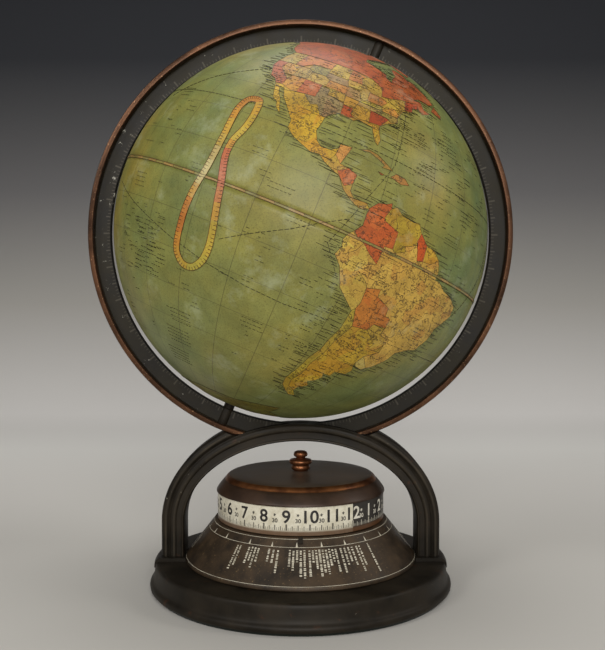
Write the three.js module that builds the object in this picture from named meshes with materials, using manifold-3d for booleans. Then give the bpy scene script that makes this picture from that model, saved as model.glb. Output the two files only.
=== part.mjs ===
// Desk globe with a world clock in its base. Millimetres, +Z up, the dial's front towards -Y.
// A terrestrial globe turns on two pole pins in a meridian ring. The ring is seated in the crown
// of an arch, and under the arch a 24 hour dial turns on a spring driven movement in the base.
import * as THREE from 'three';
import { mergeVertices } from 'three/addons/utils/BufferGeometryUtils.js';
import Module from 'manifold-3d';

const wasm = await Module();
wasm.setup();

// Driving dimensions

const globeRadius = 152.4, globeWall = 3, globeSides = 32, globeRows = 8, globeInnerRows = 3;
const axisTilt = 22.6 * Math.PI / 180;
const seamRingWidth = 20, seamRingWall = 2;
const postRadius = 5, equatorGap = 0.1;
const ferruleRadius = 6, ferruleFlange = 11, ferruleDepth = 18, ferruleFlangeWall = 2;

const globeToWeb = 5.1, webWidth = 13.2, rimWall = 4.3, webThick = 6;
const webInner = globeRadius + globeToWeb, rimOuter = webInner + webWidth + rimWall;
const rimWidth = 21, rimLip = 0.9, ringSides = 48;
const bossRadius = 5, pinRadius = 2.5, pinGrip = 13, collarRadius = 4.4, collarSides = 16;

const padSetIn = 3, footRimWall = 11.6, padReach = 31.2, coneSetIn = 29.1, archSetIn = 9.8;
const baseRadius = 124.6, baseWallRadius = baseRadius - padSetIn, baseTop = 22.5, baseCeiling = 17.3;
const baseHole = 60, baseInner = baseRadius - footRimWall, baseUnder = 2.2, baseSides = 36;
const padHeight = 2.7, padInner = baseRadius - padReach, padWidth = 37, padRound = 5;
const feltWidth = 11, feltSetIn = 3.6, feltThick = 2;
const feltOuter = baseRadius - feltSetIn, feltInner = feltOuter - feltWidth;
const plateClear = 1.5, bottomScrewSetIn = 11, keyHole = 21;
const bottomPlateRadius = baseInner - plateClear, bottomPlateThick = 1.5, bottomPlateLow = 2.6;
const bottomScrewCircle = baseInner - bottomScrewSetIn, bottomPostRadius = 6;
const smallScrewRadius = 1.8, smallHeadRadius = 3.4;

const legWidth = 18.8, legScrewSetIn = 9.3;
const archHalfWidth = baseRadius - archSetIn, archRise = 88.5, archSpring = 54;
const archInnerHalf = archHalfWidth - legWidth, archInnerRise = 67, archInnerSpring = 53.5;
const legScrewAt = archHalfWidth - legScrewSetIn, legScrewRadius = 3;
const legHeadRadius = 6, legHeadTall = 3.6, legScrewGrip = 16;
const archDepth = 28, archSteps = 20;
const outerReedWidth = 4.6, seatDrop = 8, saddleWall = 5.5, seatBite = 9.5;
const saddleHeadTop = archInnerSpring + archInnerRise, seatFloorHeight = saddleHeadTop + saddleWall;
const ringCentreHeight = seatFloorHeight - seatBite + rimOuter;
const saddleScrewAt = 24, saddleScrewRadius = 2, saddleHeadRadius = 3.5, saddleHeadTall = 2.4;
const saddleGrip = 8;

const coneTopRadius = 71.2, coneTop = 56, coneFootRadius = baseRadius - coneSetIn, coneRimTop = 25.9;
const coneWall = 1.6, coneLand = 11, coneFlangeReach = 15, coneFlangeThick = 2.2;
const coneScrewSetIn = 8.5, coneScrewCircle = coneFootRadius - coneScrewSetIn;
const indexWidth = 3.4, indexDrop = 5;

const bandRadius = 69.1, bandWall = 0.9, bandLow = 57, bandHigh = 78.8, dialSides = 28;
const drumWall = 1.4, drumFloor = 1.6, drumTop = 79.6, hubRadius = 8;
const lidLipRadius = 70, lidLow = 79, lidCrown = 94, lidWall = 1.2;
const knobStemRadius = 3, knobStemDepth = 11;

const plateRadius = 72, upperPlateRadius = 54, plateThick = 2;
const lowerPlateLow = 15.1, upperPlateLow = 38.6;
const pillarCircle = 48, pillarRadius = 3, pillarAngles = [50, 130, 270];
const frameScrewCircle = 66, frameScrewAngles = [60, 180, 300];
const bridgeRadius = 51, bridgeLow = 49, bridgeLegCircle = 46, bridgeLegRadius = 3;
const bridgeLegAngles = [90, 210, 330];

const toothTip = 0.8, toothRoot = 1.15, toothHalfShare = 0.34;
const barrelTeeth = 48, centrePinionTeeth = 8, barrelModule = 1;
const centreTeeth = 45, thirdPinionTeeth = 6, centreModule = 0.8;
const thirdTeeth = 48, fourthPinionTeeth = 6, thirdModule = 0.66;
const fourthTeeth = 48, escapePinionTeeth = 6, fourthModule = 0.56;
const cannonTeeth = 8, minuteTeeth = 48, cannonModule = 0.75;
const minutePinionTeeth = 8, hourTeeth = 32, hourModule = 1.05;
const barrelBearing = 180, thirdBearing = 60, fourthBearing = -40, escapeBearing = -75;
const minuteBearing = -30;
const escapeTeeth = 15, escapeRadius = 7, palletReach = 11, palletBearing = -110;
const forkReach = 11, forkBearing = -150;
const balanceRadius = 10, balanceRimWall = 1.6, rollerRadius = 2;
const springTurns = 3, springSteps = 12;
const mainspringTurns = 4, mainspringSteps = 12;
const barrelDrumRadius = 21, barrelWall = 1.5, barrelArborRadius = 2.5, barrelCoreRadius = 4.2;
const sawDepth = 1.6, sawFaceShare = 0.12, ratchetTeeth = 24, ratchetRadius = 10.5;
const clickReach = 14.5, clickHubRadius = 3.6;
const keyWing = 17, keyHubRadius = 4, keyThick = 2;

const fitGap = 0.1, runGap = 0.3;

// Materials

const paint = (color, roughness, metalness) => new THREE.MeshStandardMaterial({ color, roughness, metalness });
const bronze = paint(0x3a332c, 0.5, 0.8);
const copper = paint(0x5a3a26, 0.4, 0.9);
const steel = paint(0x8c8c88, 0.35, 1);
const brass = paint(0xb08d4a, 0.35, 1);
const mapPaper = paint(0x5d6a3c, 0.45, 0);
const enamel = paint(0xd8cfae, 0.5, 0);
const felt = paint(0x2c3a2c, 0.95, 0);
const wood = paint(0x8a6a44, 0.7, 0);
const blued = paint(0x2b3550, 0.35, 1);

// Small helpers

const root = new THREE.Group();

function add(name, geometry, material) {
  const mesh = new THREE.Mesh(geometry, material.clone());
  mesh.name = name;
  root.add(mesh);
  return mesh;
}

function clean(geometry) {
  const bare = geometry.index ? geometry.toNonIndexed() : geometry.clone();
  bare.deleteAttribute('normal');
  if (bare.attributes.uv) bare.deleteAttribute('uv');
  return mergeVertices(bare, 1e-4);
}

function solid(geometry) {
  const bare = clean(geometry);
  const vertProperties = Float32Array.from(bare.attributes.position.array);
  const triVerts = Uint32Array.from(bare.index.array);
  const body = new wasm.Manifold(new wasm.Mesh({ numProp: 3, vertProperties, triVerts }));
  if (body.volume() >= 0) return body;
  for (let i = 0; i < triVerts.length; i += 3) {
    [triVerts[i], triVerts[i + 1]] = [triVerts[i + 1], triVerts[i]];
  }
  return new wasm.Manifold(new wasm.Mesh({ numProp: 3, vertProperties, triVerts }));
}

function toGeometry(body) {
  const mesh = body.getMesh();
  const geometry = new THREE.BufferGeometry();
  geometry.setAttribute('position', new THREE.BufferAttribute(mesh.vertProperties, 3));
  geometry.setIndex(new THREE.BufferAttribute(mesh.triVerts, 1));
  geometry.computeVertexNormals();
  return geometry;
}

const join = (...parts) => parts.map(g => solid(g)).reduce((a, b) => a.add(b));
const carve = (body, ...tools) => tools.reduce((a, g) => a.subtract(solid(g)), body);
const bored = (body, ...tools) => toGeometry(carve(solid(body), ...tools));
const meet = (a, b) => solid(a).intersect(solid(b));

// A profile of [radius, height] points turned about the Z axis, faces outwards either way round.
function turned(profile, sides = 32) {
  const points = profile.map(([r, z]) => new THREE.Vector2(r, z));
  if (THREE.ShapeUtils.area(points) < 0) points.reverse();
  return new THREE.LatheGeometry(points, sides).rotateX(Math.PI / 2);
}

function tube(outer, inner, low, high, sides = 32) {
  return turned([[inner, low], [outer, low], [outer, high], [inner, high], [inner, low]], sides);
}

function rod(radius, low, high, sides = 16) {
  return turned([[0, low], [radius, low], [radius, high], [0, high]], sides);
}

function block(lowX, highX, lowY, highY, lowZ, highZ) {
  const box = new THREE.BoxGeometry(highX - lowX, highY - lowY, highZ - lowZ);
  return box.translate((lowX + highX) / 2, (lowY + highY) / 2, (lowZ + highZ) / 2);
}

function slab(points, low, high) {
  const shape = new THREE.Shape(points.map(([x, y]) => new THREE.Vector2(x, y)));
  const body = new THREE.ExtrudeGeometry(shape, { depth: high - low, bevelEnabled: false });
  return body.translate(0, 0, low);
}

const radians = degrees => degrees * Math.PI / 180;
const onCircle = (radius, degrees) => [radius * Math.cos(radians(degrees)), radius * Math.sin(radians(degrees))];
const stepFrom = ([x, y], reach, degrees) => [x + onCircle(reach, degrees)[0], y + onCircle(reach, degrees)[1]];
const at = (geometry, [x, y], z = 0) => geometry.translate(x, y, z);

// A spur gear whose tooth points along toothAt degrees.
function gear(teeth, module, bore, low, high, toothAt) {
  const tip = module * (teeth / 2 + toothTip), foot = module * (teeth / 2 - toothRoot);
  const pitch = 2 * Math.PI / teeth, points = [];
  for (let i = 0; i < teeth; i++) {
    const middle = radians(toothAt) + i * pitch;
    for (const [radius, share] of [[foot, -toothHalfShare], [tip, 0], [foot, toothHalfShare]]) {
      const angle = middle + share * pitch;
      points.push([radius * Math.cos(angle), radius * Math.sin(angle)]);
    }
  }
  const shape = new THREE.Shape(points.map(([x, y]) => new THREE.Vector2(x, y)));
  if (bore > 0) shape.holes.push(new THREE.Path().absarc(0, 0, bore, 0, 2 * Math.PI, true));
  const body = new THREE.ExtrudeGeometry(shape, { depth: high - low, bevelEnabled: false, curveSegments: 4 });
  return body.translate(0, 0, low);
}

// The tooth angle that puts a gap of the second wheel on the line back to the first.
const gapTowards = (bearing, teeth) => bearing + 180 + 180 / teeth;
const spacing = (module, first, second) => module * (first + second) / 2;

// A closed bar lofted through rings of points, capped at both ends.
function loft(rings, section) {
  const count = section.length, index = [];
  for (let i = 0; i + 1 < rings.length; i++) {
    for (let j = 0; j < count; j++) {
      const a = i * count + j, b = i * count + (j + 1) % count, c = a + count, d = b + count;
      index.push(a, b, d, a, d, c);
    }
  }
  const last = (rings.length - 1) * count;
  const flat = section.map(([u, v]) => new THREE.Vector2(u, v));
  const turnsLeft = THREE.ShapeUtils.area(flat) > 0;
  for (const [p, q, r] of THREE.ShapeUtils.triangulateShape(flat, [])) {
    const sameWay = THREE.ShapeUtils.area([flat[p], flat[q], flat[r]]) > 0 === turnsLeft;
    const [b, c] = sameWay ? [q, r] : [r, q];
    index.push(p, c, b, last + p, last + b, last + c);
  }
  const geometry = new THREE.BufferGeometry();
  geometry.setAttribute('position', new THREE.Float32BufferAttribute(rings.flat(2), 3));
  geometry.setIndex(index);
  return geometry;
}

// Base: cast shell, felt ring, bottom plate

const footProfileShares = [[0.984, 0], [0.999, 0.05], [1, 0.14], [0.994, 0.22], [0.978, 0.31],
  [0.971, 0.42], [0.967, 0.6], [0.964, 0.8], [0.962, 0.93], [0.957, 1]];
const padTop = baseTop + padHeight;
const bottomScrewAngles = [90, 210, 330], coneScrewAngles = [30, 150, 270];
const screwHole = smallScrewRadius + fitGap;
const postLow = bottomPlateLow + bottomPlateThick + fitGap;

// The cone's foot with room round it: the pads and the arch's legs are relieved where they pass it.
const coneClear = () => turned([[0, baseTop], [coneFootRadius + runGap, baseTop],
  [coneFootRadius + runGap, coneRimTop + fitGap], [coneTopRadius + runGap, coneTop + fitGap],
  [0, coneTop + fitGap]], dialSides);

const screwHoles = (angles, circle, high) =>
  angles.map(a => at(rod(screwHole, 0, high, 8), onCircle(circle, a)));

function baseShell() {
  const tall = baseTop - baseUnder;
  const shell = turned([[baseInner, baseUnder],
    ...footProfileShares.map(([r, z]) => [r * baseRadius, baseUnder + z * tall]),
    [baseHole, baseTop], [baseHole, baseCeiling], [baseInner, baseCeiling], [baseInner, baseUnder]], baseSides);
  const padBody = turned([[0, baseCeiling], [baseWallRadius, baseCeiling], [baseWallRadius, padTop - padRound],
    [baseWallRadius - padRound / 3, padTop - padRound / 3], [baseWallRadius - padRound, padTop],
    [0, padTop]], baseSides);
  const blanks = [[-baseRadius, -padInner], [padInner, baseRadius]]
    .map(([low, high]) => block(low, high, -padWidth / 2, padWidth / 2, baseCeiling + runGap, padTop));
  const pads = blanks.map(blank => toGeometry(meet(blank, padBody).subtract(solid(coneClear()))));
  const posts = bottomScrewAngles.map(a =>
    at(rod(bottomPostRadius, postLow, baseCeiling + runGap, 12), onCircle(bottomScrewCircle, a)));
  const holes = [
    ...screwHoles(bottomScrewAngles, bottomScrewCircle, baseCeiling - plateThick),
    ...screwHoles(coneScrewAngles, coneScrewCircle, padTop),
    ...screwHoles(frameScrewAngles, frameScrewCircle, baseTop - plateThick / 2),
    ...[-legScrewAt, legScrewAt].map(x => at(rod(legScrewRadius + fitGap, 0, padTop * 2, 12), [x, 0])),
  ];
  return toGeometry(carve(join(shell, ...pads, ...posts), ...holes));
}

function screw(radius, headRadius, headTall, headLow, tip, sides = 8) {
  const neck = headLow + headTall;
  return turned([[0, headLow], [headRadius, headLow], [headRadius, neck], [radius, neck], [radius, tip], [0, tip]],
    sides);
}

add('base_shell', baseShell(), bronze);
add('felt_foot_ring', tube(feltOuter, feltInner, 0, feltThick, baseSides), felt);
const barrelAt = onCircle(spacing(barrelModule, barrelTeeth, centrePinionTeeth), barrelBearing);
add('bottom_plate', bored(
  rod(bottomPlateRadius, bottomPlateLow, bottomPlateLow + bottomPlateThick, baseSides),
  at(rod(keyHole, 0, padTop), barrelAt),
  ...screwHoles(bottomScrewAngles, bottomScrewCircle, padTop)), steel);
const smallHeadTall = 1.4, bottomScrewGrip = 11;
bottomScrewAngles.forEach((a, i) => {
  const headLow = bottomPlateLow - fitGap - smallHeadTall;
  add(`bottom_plate_screw_${i + 1}`, at(screw(smallScrewRadius, smallHeadRadius, smallHeadTall, headLow,
    headLow + bottomScrewGrip), onCircle(bottomScrewCircle, a)), steel);
});

// Arch: a bar with a reeded face, lofted over the dial from pad to pad

const archSectionShares = [[0, 0.86], [0.05, 1], [0.11, 0.97], [0.15, 0.93], [0.34, 0.93], [0.4, 1],
  [0.56, 1], [0.64, 0.88], [0.74, 0.97], [1, 0.78]];

function archBar() {
  const half = archDepth / 2;
  const section = [...archSectionShares.map(([u, v]) => [u, -v * half]),
    ...[...archSectionShares].reverse().map(([u, v]) => [u, v * half])];
  const across = (inner, outer) => section.map(([u, y]) =>
    [inner[0] + u * (outer[0] - inner[0]), y, inner[1] + u * (outer[1] - inner[1])]);
  const foot = padTop + fitGap;
  const rings = [across([-archInnerHalf, foot], [-archHalfWidth, foot])];
  for (let i = 0; i <= archSteps; i++) {
    const angle = Math.PI * (1 - i / archSteps), c = Math.cos(angle), s = Math.sin(angle);
    rings.push(across([archInnerHalf * c, archInnerSpring + archInnerRise * s],
      [archHalfWidth * c, archSpring + archRise * s]));
  }
  rings.push(across([archInnerHalf, foot], [archHalfWidth, foot]));
  return loft(rings, section);
}

// A front view outline [x, z] given depth along Y.
function frontSlab(points, lowY, highY) {
  const shape = new THREE.Shape(points.map(([x, z]) => new THREE.Vector2(x, z)));
  const body = new THREE.ExtrudeGeometry(shape, { depth: highY - lowY, bevelEnabled: false });
  return body.translate(0, 0, -highY).rotateX(Math.PI / 2);
}

// What lies inside the arch's second reed: the ring's rim stops on this line.
function seatOutline(grow) {
  const half = archHalfWidth - outerReedWidth + grow, rise = archRise - seatDrop + grow;
  const points = [];
  for (let i = 0; i <= archSteps; i++) {
    const angle = Math.PI * i / archSteps;
    points.push([half * Math.cos(angle), archSpring + rise * Math.sin(angle)]);
  }
  return points;
}

const ringCentre = [0, 0, ringCentreHeight];
const ringDisc = (radius, halfWidth) =>
  new THREE.CylinderGeometry(radius, radius, halfWidth * 2, ringSides).translate(...ringCentre);
const saddleSides = [-saddleScrewAt, saddleScrewAt];

function archBracket() {
  const seat = ringDisc(rimOuter + runGap, archDepth);
  const reedCut = carve(solid(seat), frontSlab(seatOutline(0), -archDepth * 2, archDepth * 2));
  const slotHalf = webThick / 2 + fitGap;
  const slot = meet(ringDisc(rimOuter + runGap, slotHalf),
    block(-archHalfWidth, archHalfWidth, -archDepth, archDepth, seatFloorHeight, ringCentreHeight));
  const holes = [
    ...saddleSides.map(x => at(rod(saddleScrewRadius + fitGap, padTop, ringCentreHeight, 10), [x, 0])),
    ...saddleSides.map(x => at(rod(saddleHeadRadius + runGap, padTop, saddleHeadTop, 12), [x, 0])),
    ...[-legScrewAt, legScrewAt].map(x =>
      at(rod(legScrewRadius + fitGap, baseTop, padTop + legScrewGrip + runGap, 12), [x, 0])),
  ];
  return toGeometry(carve(solid(archBar()).subtract(reedCut).subtract(slot), coneClear(), ...holes));
}

add('arch_bracket', archBracket(), bronze);
[-legScrewAt, legScrewAt].forEach((x, i) => add(`arch_screw_${['left', 'right'][i]}`,
  at(screw(legScrewRadius, legHeadRadius, legHeadTall, baseCeiling - fitGap - legHeadTall, padTop + legScrewGrip,
    12), [x, 0]), steel));
saddleSides.forEach((x, i) => add(`saddle_screw_${['left', 'right'][i]}`,
  at(screw(saddleScrewRadius, saddleHeadRadius, saddleHeadTall, saddleHeadTop - fitGap - saddleHeadTall,
    seatFloorHeight + saddleGrip), [x, 0]), steel));

// Meridian ring: flat web, wide rim, a boss for each pole pin

const onAxis = geometry => geometry.rotateY(axisTilt).translate(...ringCentre);
const rimInner = rimOuter - rimWall;
const pinHole = pinRadius + fitGap, bossInner = webInner - runGap;
const pinTip = globeRadius - pinGrip;

function meridianRing() {
  const web = webThick / 2, rim = rimWidth / 2;
  const profile = [[webInner, -web], [rimInner, -web], [rimInner, -rim], [rimOuter - rimLip, -rim],
    [rimOuter, rimLip - rim], [rimOuter, rim - rimLip], [rimOuter - rimLip, rim], [rimInner, rim],
    [rimInner, web], [webInner, web], [webInner, -web]].map(([r, y]) => new THREE.Vector2(r, y));
  const band = new THREE.LatheGeometry(profile, ringSides).translate(...ringCentre);
  const bosses = [[bossInner, rimInner + rimWall / 2], [-rimInner - rimWall / 2, -bossInner]]
    .map(([low, high]) => onAxis(rod(bossRadius, low, high, 16)));
  const seats = [[web + fitGap / 2, rimWidth], [-rimWidth, -web - fitGap / 2]]
    .map(([low, high]) => frontSlab(seatOutline(fitGap), low, high));
  const floor = block(-archHalfWidth, archHalfWidth, -rimWidth, rimWidth, padTop, seatFloorHeight + fitGap);
  const holes = [onAxis(rod(pinHole, -rimOuter * 2, rimOuter * 2, 12)),
    ...saddleSides.map(x =>
      at(rod(saddleScrewRadius + fitGap, padTop, seatFloorHeight + saddleGrip + runGap, 10), [x, 0]))];
  return toGeometry(carve(join(band, ...bosses), ...seats, floor, ...holes));
}

add('meridian_ring', meridianRing(), bronze);
const pinEnd = rimOuter - rimLip;
[['north', 1], ['south', -1]].forEach(([pole, side]) => {
  const [pinLow, pinHigh] = [pinTip * side, pinEnd * side].sort((a, b) => a - b);
  const collarEnds = [(globeRadius + runGap) * side, (bossInner - fitGap) * side].sort((a, b) => a - b);
  add(`pole_pin_${pole}`, onAxis(rod(pinRadius, pinLow, pinHigh)), steel);
  add(`pole_collar_${pole}`, onAxis(tube(collarRadius, pinHole, ...collarEnds, collarSides)), bronze);
});

// Globe: two shells joined on a strip, turning on ferrules that a post holds apart

// Points from the rim of the pole hole down to the seam, [radius, height].
function shellArc(radius, rows) {
  const start = Math.asin((ferruleRadius + fitGap) / radius);
  return Array.from({ length: rows + 1 }, (unused, i) => {
    const angle = start + (Math.PI / 2 - start) * i / rows;
    return [radius * Math.sin(angle), radius * Math.cos(angle)];
  });
}

const globeInside = shellArc(globeRadius - globeWall, globeInnerRows);

function globeShell(side) {
  const outline = [...shellArc(globeRadius, globeRows), ...[...globeInside].reverse()]
    .map(([r, z]) => [r, side * (z + equatorGap / 2)]);
  return turned([...outline, outline[0]], globeSides);
}

const slopeBetween = ([r1, z1], [r2, z2]) => (z2 - z1) / (r2 - r1);

function seamRing() {
  const inside = globeRadius - globeWall - fitGap, half = seamRingWidth / 2;
  const edge = inside - fitGap + half / slopeBetween(...globeInside.slice(-2));
  return turned([[edge - seamRingWall, -half], [edge, -half], [inside, 0], [edge, half],
    [edge - seamRingWall, half], [edge - seamRingWall, -half]], globeSides);
}

const ferruleBottom = globeRadius - fitGap * 4 - ferruleDepth, ferruleFloor = pinTip - runGap * 2;
function ferrule(side) {
  const top = globeRadius - fitGap * 4, [holeEdge, firstRow] = globeInside;
  const slope = slopeBetween(holeEdge, firstRow);
  const flangeTop = holeEdge[1] - fitGap + (ferruleFlange + fitGap - holeEdge[0]) * slope;
  const flangeLow = flangeTop - ferruleFlangeWall, bore = pinRadius + runGap;
  const profile = [[0, ferruleBottom], [ferruleRadius, ferruleBottom], [ferruleRadius, flangeLow],
    [ferruleFlange, flangeLow], [ferruleFlange, flangeTop], [ferruleRadius, flangeTop], [ferruleRadius, top],
    [bore, top], [bore, ferruleFloor], [0, ferruleFloor]];
  return turned(profile.map(([r, z]) => [r, side * z]), 12);
}

add('globe_north_shell', onAxis(globeShell(1)), mapPaper);
add('globe_south_shell', onAxis(globeShell(-1)), mapPaper);
add('globe_seam_ring', onAxis(seamRing()), wood);
add('pole_ferrule_north', onAxis(ferrule(1)), brass);
add('pole_ferrule_south', onAxis(ferrule(-1)), brass);
add('globe_post', onAxis(rod(postRadius, fitGap - ferruleBottom, ferruleBottom - fitGap)), wood);

// Meridian cone over the movement, with the fixed index tab

const coneFoot = baseTop + fitGap * 2, coneFlangeTop = coneFoot + coneFlangeThick;
function meridianCone() {
  const inFoot = coneFootRadius - coneWall, inTop = coneTopRadius - coneWall;
  const profile = [[coneFootRadius, coneFoot], [coneFootRadius, coneRimTop], [coneTopRadius, coneTop],
    [coneTopRadius - coneLand, coneTop], [coneTopRadius - coneLand, coneTop - coneWall], [inTop, coneTop - coneWall],
    [inFoot, coneRimTop], [inFoot, coneFlangeTop], [coneFootRadius - coneFlangeReach, coneFlangeTop],
    [coneFootRadius - coneFlangeReach, coneFoot], [coneFootRadius, coneFoot]];
  return bored(turned(profile, dialSides), ...screwHoles(coneScrewAngles, coneScrewCircle, coneRimTop));
}

add('meridian_cone', meridianCone(), bronze);
const flangeHeadTall = 2, coneScrewHead = baseCeiling - fitGap - flangeHeadTall;
coneScrewAngles.forEach((a, i) => add(`cone_screw_${i + 1}`,
  at(screw(smallScrewRadius, smallHeadRadius, flangeHeadTall, coneScrewHead, coneFlangeTop),
    onCircle(coneScrewCircle, a)), steel));

function indexTab() {
  const fall = Math.hypot(coneFootRadius - coneTopRadius, coneTop - coneRimTop);
  const along = [(coneFootRadius - coneTopRadius) / fall, (coneRimTop - coneTop) / fall];
  const out = [-along[1], along[0]];
  const spot = (s, n) => [coneTopRadius + s * along[0] + n * out[0], coneTop + s * along[1] + n * out[1]];
  const shape = new THREE.Shape([[fitGap, fitGap * 2], [indexDrop, fitGap * 2], [indexDrop, coneWall],
    [fitGap, coneWall]].map(([s, n]) => new THREE.Vector2(...spot(s, n))));
  return new THREE.ExtrudeGeometry(shape, { depth: indexWidth, bevelEnabled: false })
    .translate(0, 0, -indexWidth / 2).rotateX(Math.PI / 2).rotateZ(-Math.PI / 2);
}

add('index_tab', indexTab(), bronze);

// Dial: hour wheel, drum, numbered band, lid and knob turn together

const hourArborRadius = 5, spigotRadius = 3.9, spigotTall = 9;
const hourLow = 45.6, hourThick = 2, bridgeTop = bridgeLow + plateThick, hubLow = bridgeTop + runGap;
const drumLow = bandLow + runGap, drumRadius = bandRadius - bandWall - fitGap;
const stemHole = knobStemRadius + fitGap, drumPostTop = lidCrown - lidWall - fitGap * 2;
const minuteAt = onCircle(spacing(cannonModule, cannonTeeth, minuteTeeth), minuteBearing);

function dialDrum() {
  const postOuter = hourArborRadius + fitGap;
  return turned([[0, hubLow + spigotTall + runGap], [spigotRadius + fitGap, hubLow + spigotTall + runGap],
    [spigotRadius + fitGap, hubLow], [hubRadius, hubLow], [hubRadius, drumLow], [drumRadius, drumLow],
    [drumRadius, drumTop], [drumRadius - drumWall, drumTop], [drumRadius - drumWall, drumLow + drumFloor],
    [postOuter, drumLow + drumFloor], [postOuter, drumPostTop], [stemHole, drumPostTop],
    [stemHole, lidCrown - knobStemDepth - runGap], [0, lidCrown - knobStemDepth - runGap]], dialSides);
}

const lidProfileShares = [[0.2, 0.99], [0.56, 0.967], [0.81, 0.923], [0.85, 0.873],
  [0.895, 0.693], [0.93, 0.507], [0.975, 0.253], [1, 0.1], [1, 0]];
function dialLid() {
  const tall = lidCrown - lidLow;
  const curve = lidProfileShares.map(([r, z]) => [r * lidLipRadius, lidLow + z * tall]);
  const under = [...curve].reverse().filter((unused, i) => i % 2 === 1 || i === 0)
    .map(([r, z], i) => [r - lidWall, i === 0 ? z : z - lidWall]);
  return turned([[stemHole, lidCrown], ...curve, ...under, [stemHole, lidCrown - lidWall], [stemHole, lidCrown]],
    dialSides);
}

const knobProfile = [[6, 0.1], [6.5, 0.9], [7.7, 1.8], [7.9, 3.4], [7.2, 4.9], [6.4, 5.6], [8.7, 6],
  [9.6, 7.6], [9, 9.3], [5.8, 10.2], [3.6, 10.9], [5.5, 12.2], [5.9, 13.7], [5.4, 15.3], [3.5, 16.3], [0, 16.7]];
const hourWheel = join(
  gear(hourTeeth, hourModule, 0, hourLow, hourLow + hourThick, gapTowards(minuteBearing + 180, hourTeeth)),
  rod(hourArborRadius, hourLow, hubLow, 24), rod(spigotRadius, hourLow, hubLow + spigotTall));
add('hour_wheel', toGeometry(hourWheel), brass);
add('dial_drum', dialDrum(), brass);
add('hour_band', tube(bandRadius, bandRadius - bandWall, bandLow, bandHigh, dialSides), enamel);
add('dial_lid', dialLid(), copper);
add('dial_knob', turned([[0, lidCrown - knobStemDepth], [knobStemRadius, lidCrown - knobStemDepth],
  [knobStemRadius, lidCrown + knobProfile[0][1]],
  ...knobProfile.map(([r, z]) => [r, lidCrown + z])], 14), copper);

// Movement frame: two plates on pillars, and the bridge that carries the dial

const centreAt = [0, 0];
const thirdAt = onCircle(spacing(centreModule, centreTeeth, thirdPinionTeeth), thirdBearing);
const fourthAt = stepFrom(thirdAt, spacing(thirdModule, thirdTeeth, fourthPinionTeeth), fourthBearing);
const escapeAt = stepFrom(fourthAt, spacing(fourthModule, fourthTeeth, escapePinionTeeth), escapeBearing);
const palletAt = stepFrom(escapeAt, palletReach, palletBearing);
const balanceAt = stepFrom(palletAt, forkReach, forkBearing);
const clickAt = stepFrom(barrelAt, clickReach, 90);
const pivotRadius = 0.6, arborRadius = 0.9, centreRadius = 1.2, studRadius = 1.5;
const lowerPlateTop = lowerPlateLow + plateThick, upperPlateTop = upperPlateLow + plateThick;
const pivotSpots = [thirdAt, fourthAt, escapeAt, palletAt, balanceAt];
const ratchetLow = upperPlateTop + runGap, ratchetHigh = ratchetLow + plateThick;
const springLow = 32, springHigh = 33.2, springInner = 1.35, springOuter = 6;

const lowerPlate = bored(rod(plateRadius, lowerPlateLow, lowerPlateTop, 28),
  ...[centreAt, ...pivotSpots].map(p => at(rod(pivotRadius + runGap, 0, padTop, 8), p)),
  at(rod(barrelArborRadius + runGap, 0, padTop, 12), barrelAt),
  ...screwHoles(pillarAngles, pillarCircle, padTop), ...screwHoles(frameScrewAngles, frameScrewCircle, padTop));
add('lower_plate', lowerPlate, brass);

const minuteLow = 42.2, minuteHigh = 43.7, minutePinionHigh = 48.2;
const minuteStud = turned([[0, upperPlateLow], [studRadius * 2, upperPlateLow], [studRadius * 2, minuteLow - runGap],
  [studRadius, minuteLow - runGap], [studRadius, minutePinionHigh], [0, minutePinionHigh]], 10);
const springStud = at(rod(pivotRadius, springHigh - runGap * 2, upperPlateLow + runGap, 8),
  stepFrom(balanceAt, springOuter + pivotRadius + runGap * 2, 0));
const clickStud = at(rod(studRadius, upperPlateLow, ratchetHigh, 10), clickAt);
const upperPlate = carve(
  join(rod(upperPlateRadius, upperPlateLow, upperPlateTop, 24), at(minuteStud, minuteAt), springStud, clickStud),
  ...pivotSpots.map(p => at(rod(pivotRadius + runGap, padTop, hourLow, 8), p)),
  at(rod(centreRadius + runGap, padTop, hourLow, 10), centreAt),
  at(rod(barrelArborRadius + runGap, padTop, hourLow, 12), barrelAt),
  ...screwHoles(pillarAngles, pillarCircle, hourLow));
add('upper_plate', toGeometry(upperPlate), brass);

pillarAngles.forEach((a, i) => add(`pillar_${i + 1}`, at(turned([[0, lowerPlateLow + fitGap],
  [smallScrewRadius, lowerPlateLow + fitGap], [smallScrewRadius, lowerPlateTop + fitGap],
  [pillarRadius, lowerPlateTop + fitGap], [pillarRadius, upperPlateLow - fitGap],
  [smallScrewRadius, upperPlateLow - fitGap], [smallScrewRadius, upperPlateTop], [0, upperPlateTop]], 8),
  onCircle(pillarCircle, a)), brass));
frameScrewAngles.forEach((a, i) => add(`frame_screw_${i + 1}`,
  at(screw(smallScrewRadius, smallHeadRadius, flangeHeadTall, lowerPlateLow - fitGap - flangeHeadTall,
    baseTop - plateThick), onCircle(frameScrewCircle, a)), steel));
add('dial_bridge', toGeometry(carve(
  join(rod(bridgeRadius, bridgeLow, bridgeTop, 24), ...bridgeLegAngles.map(a =>
    at(rod(bridgeLegRadius, upperPlateTop + fitGap, bridgeLow + fitGap, 12), onCircle(bridgeLegCircle, a)))),
  rod(hourArborRadius + runGap, padTop, bandLow, 24))), brass);

// Power: mainspring barrel, winding arbor, ratchet, click and key

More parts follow.
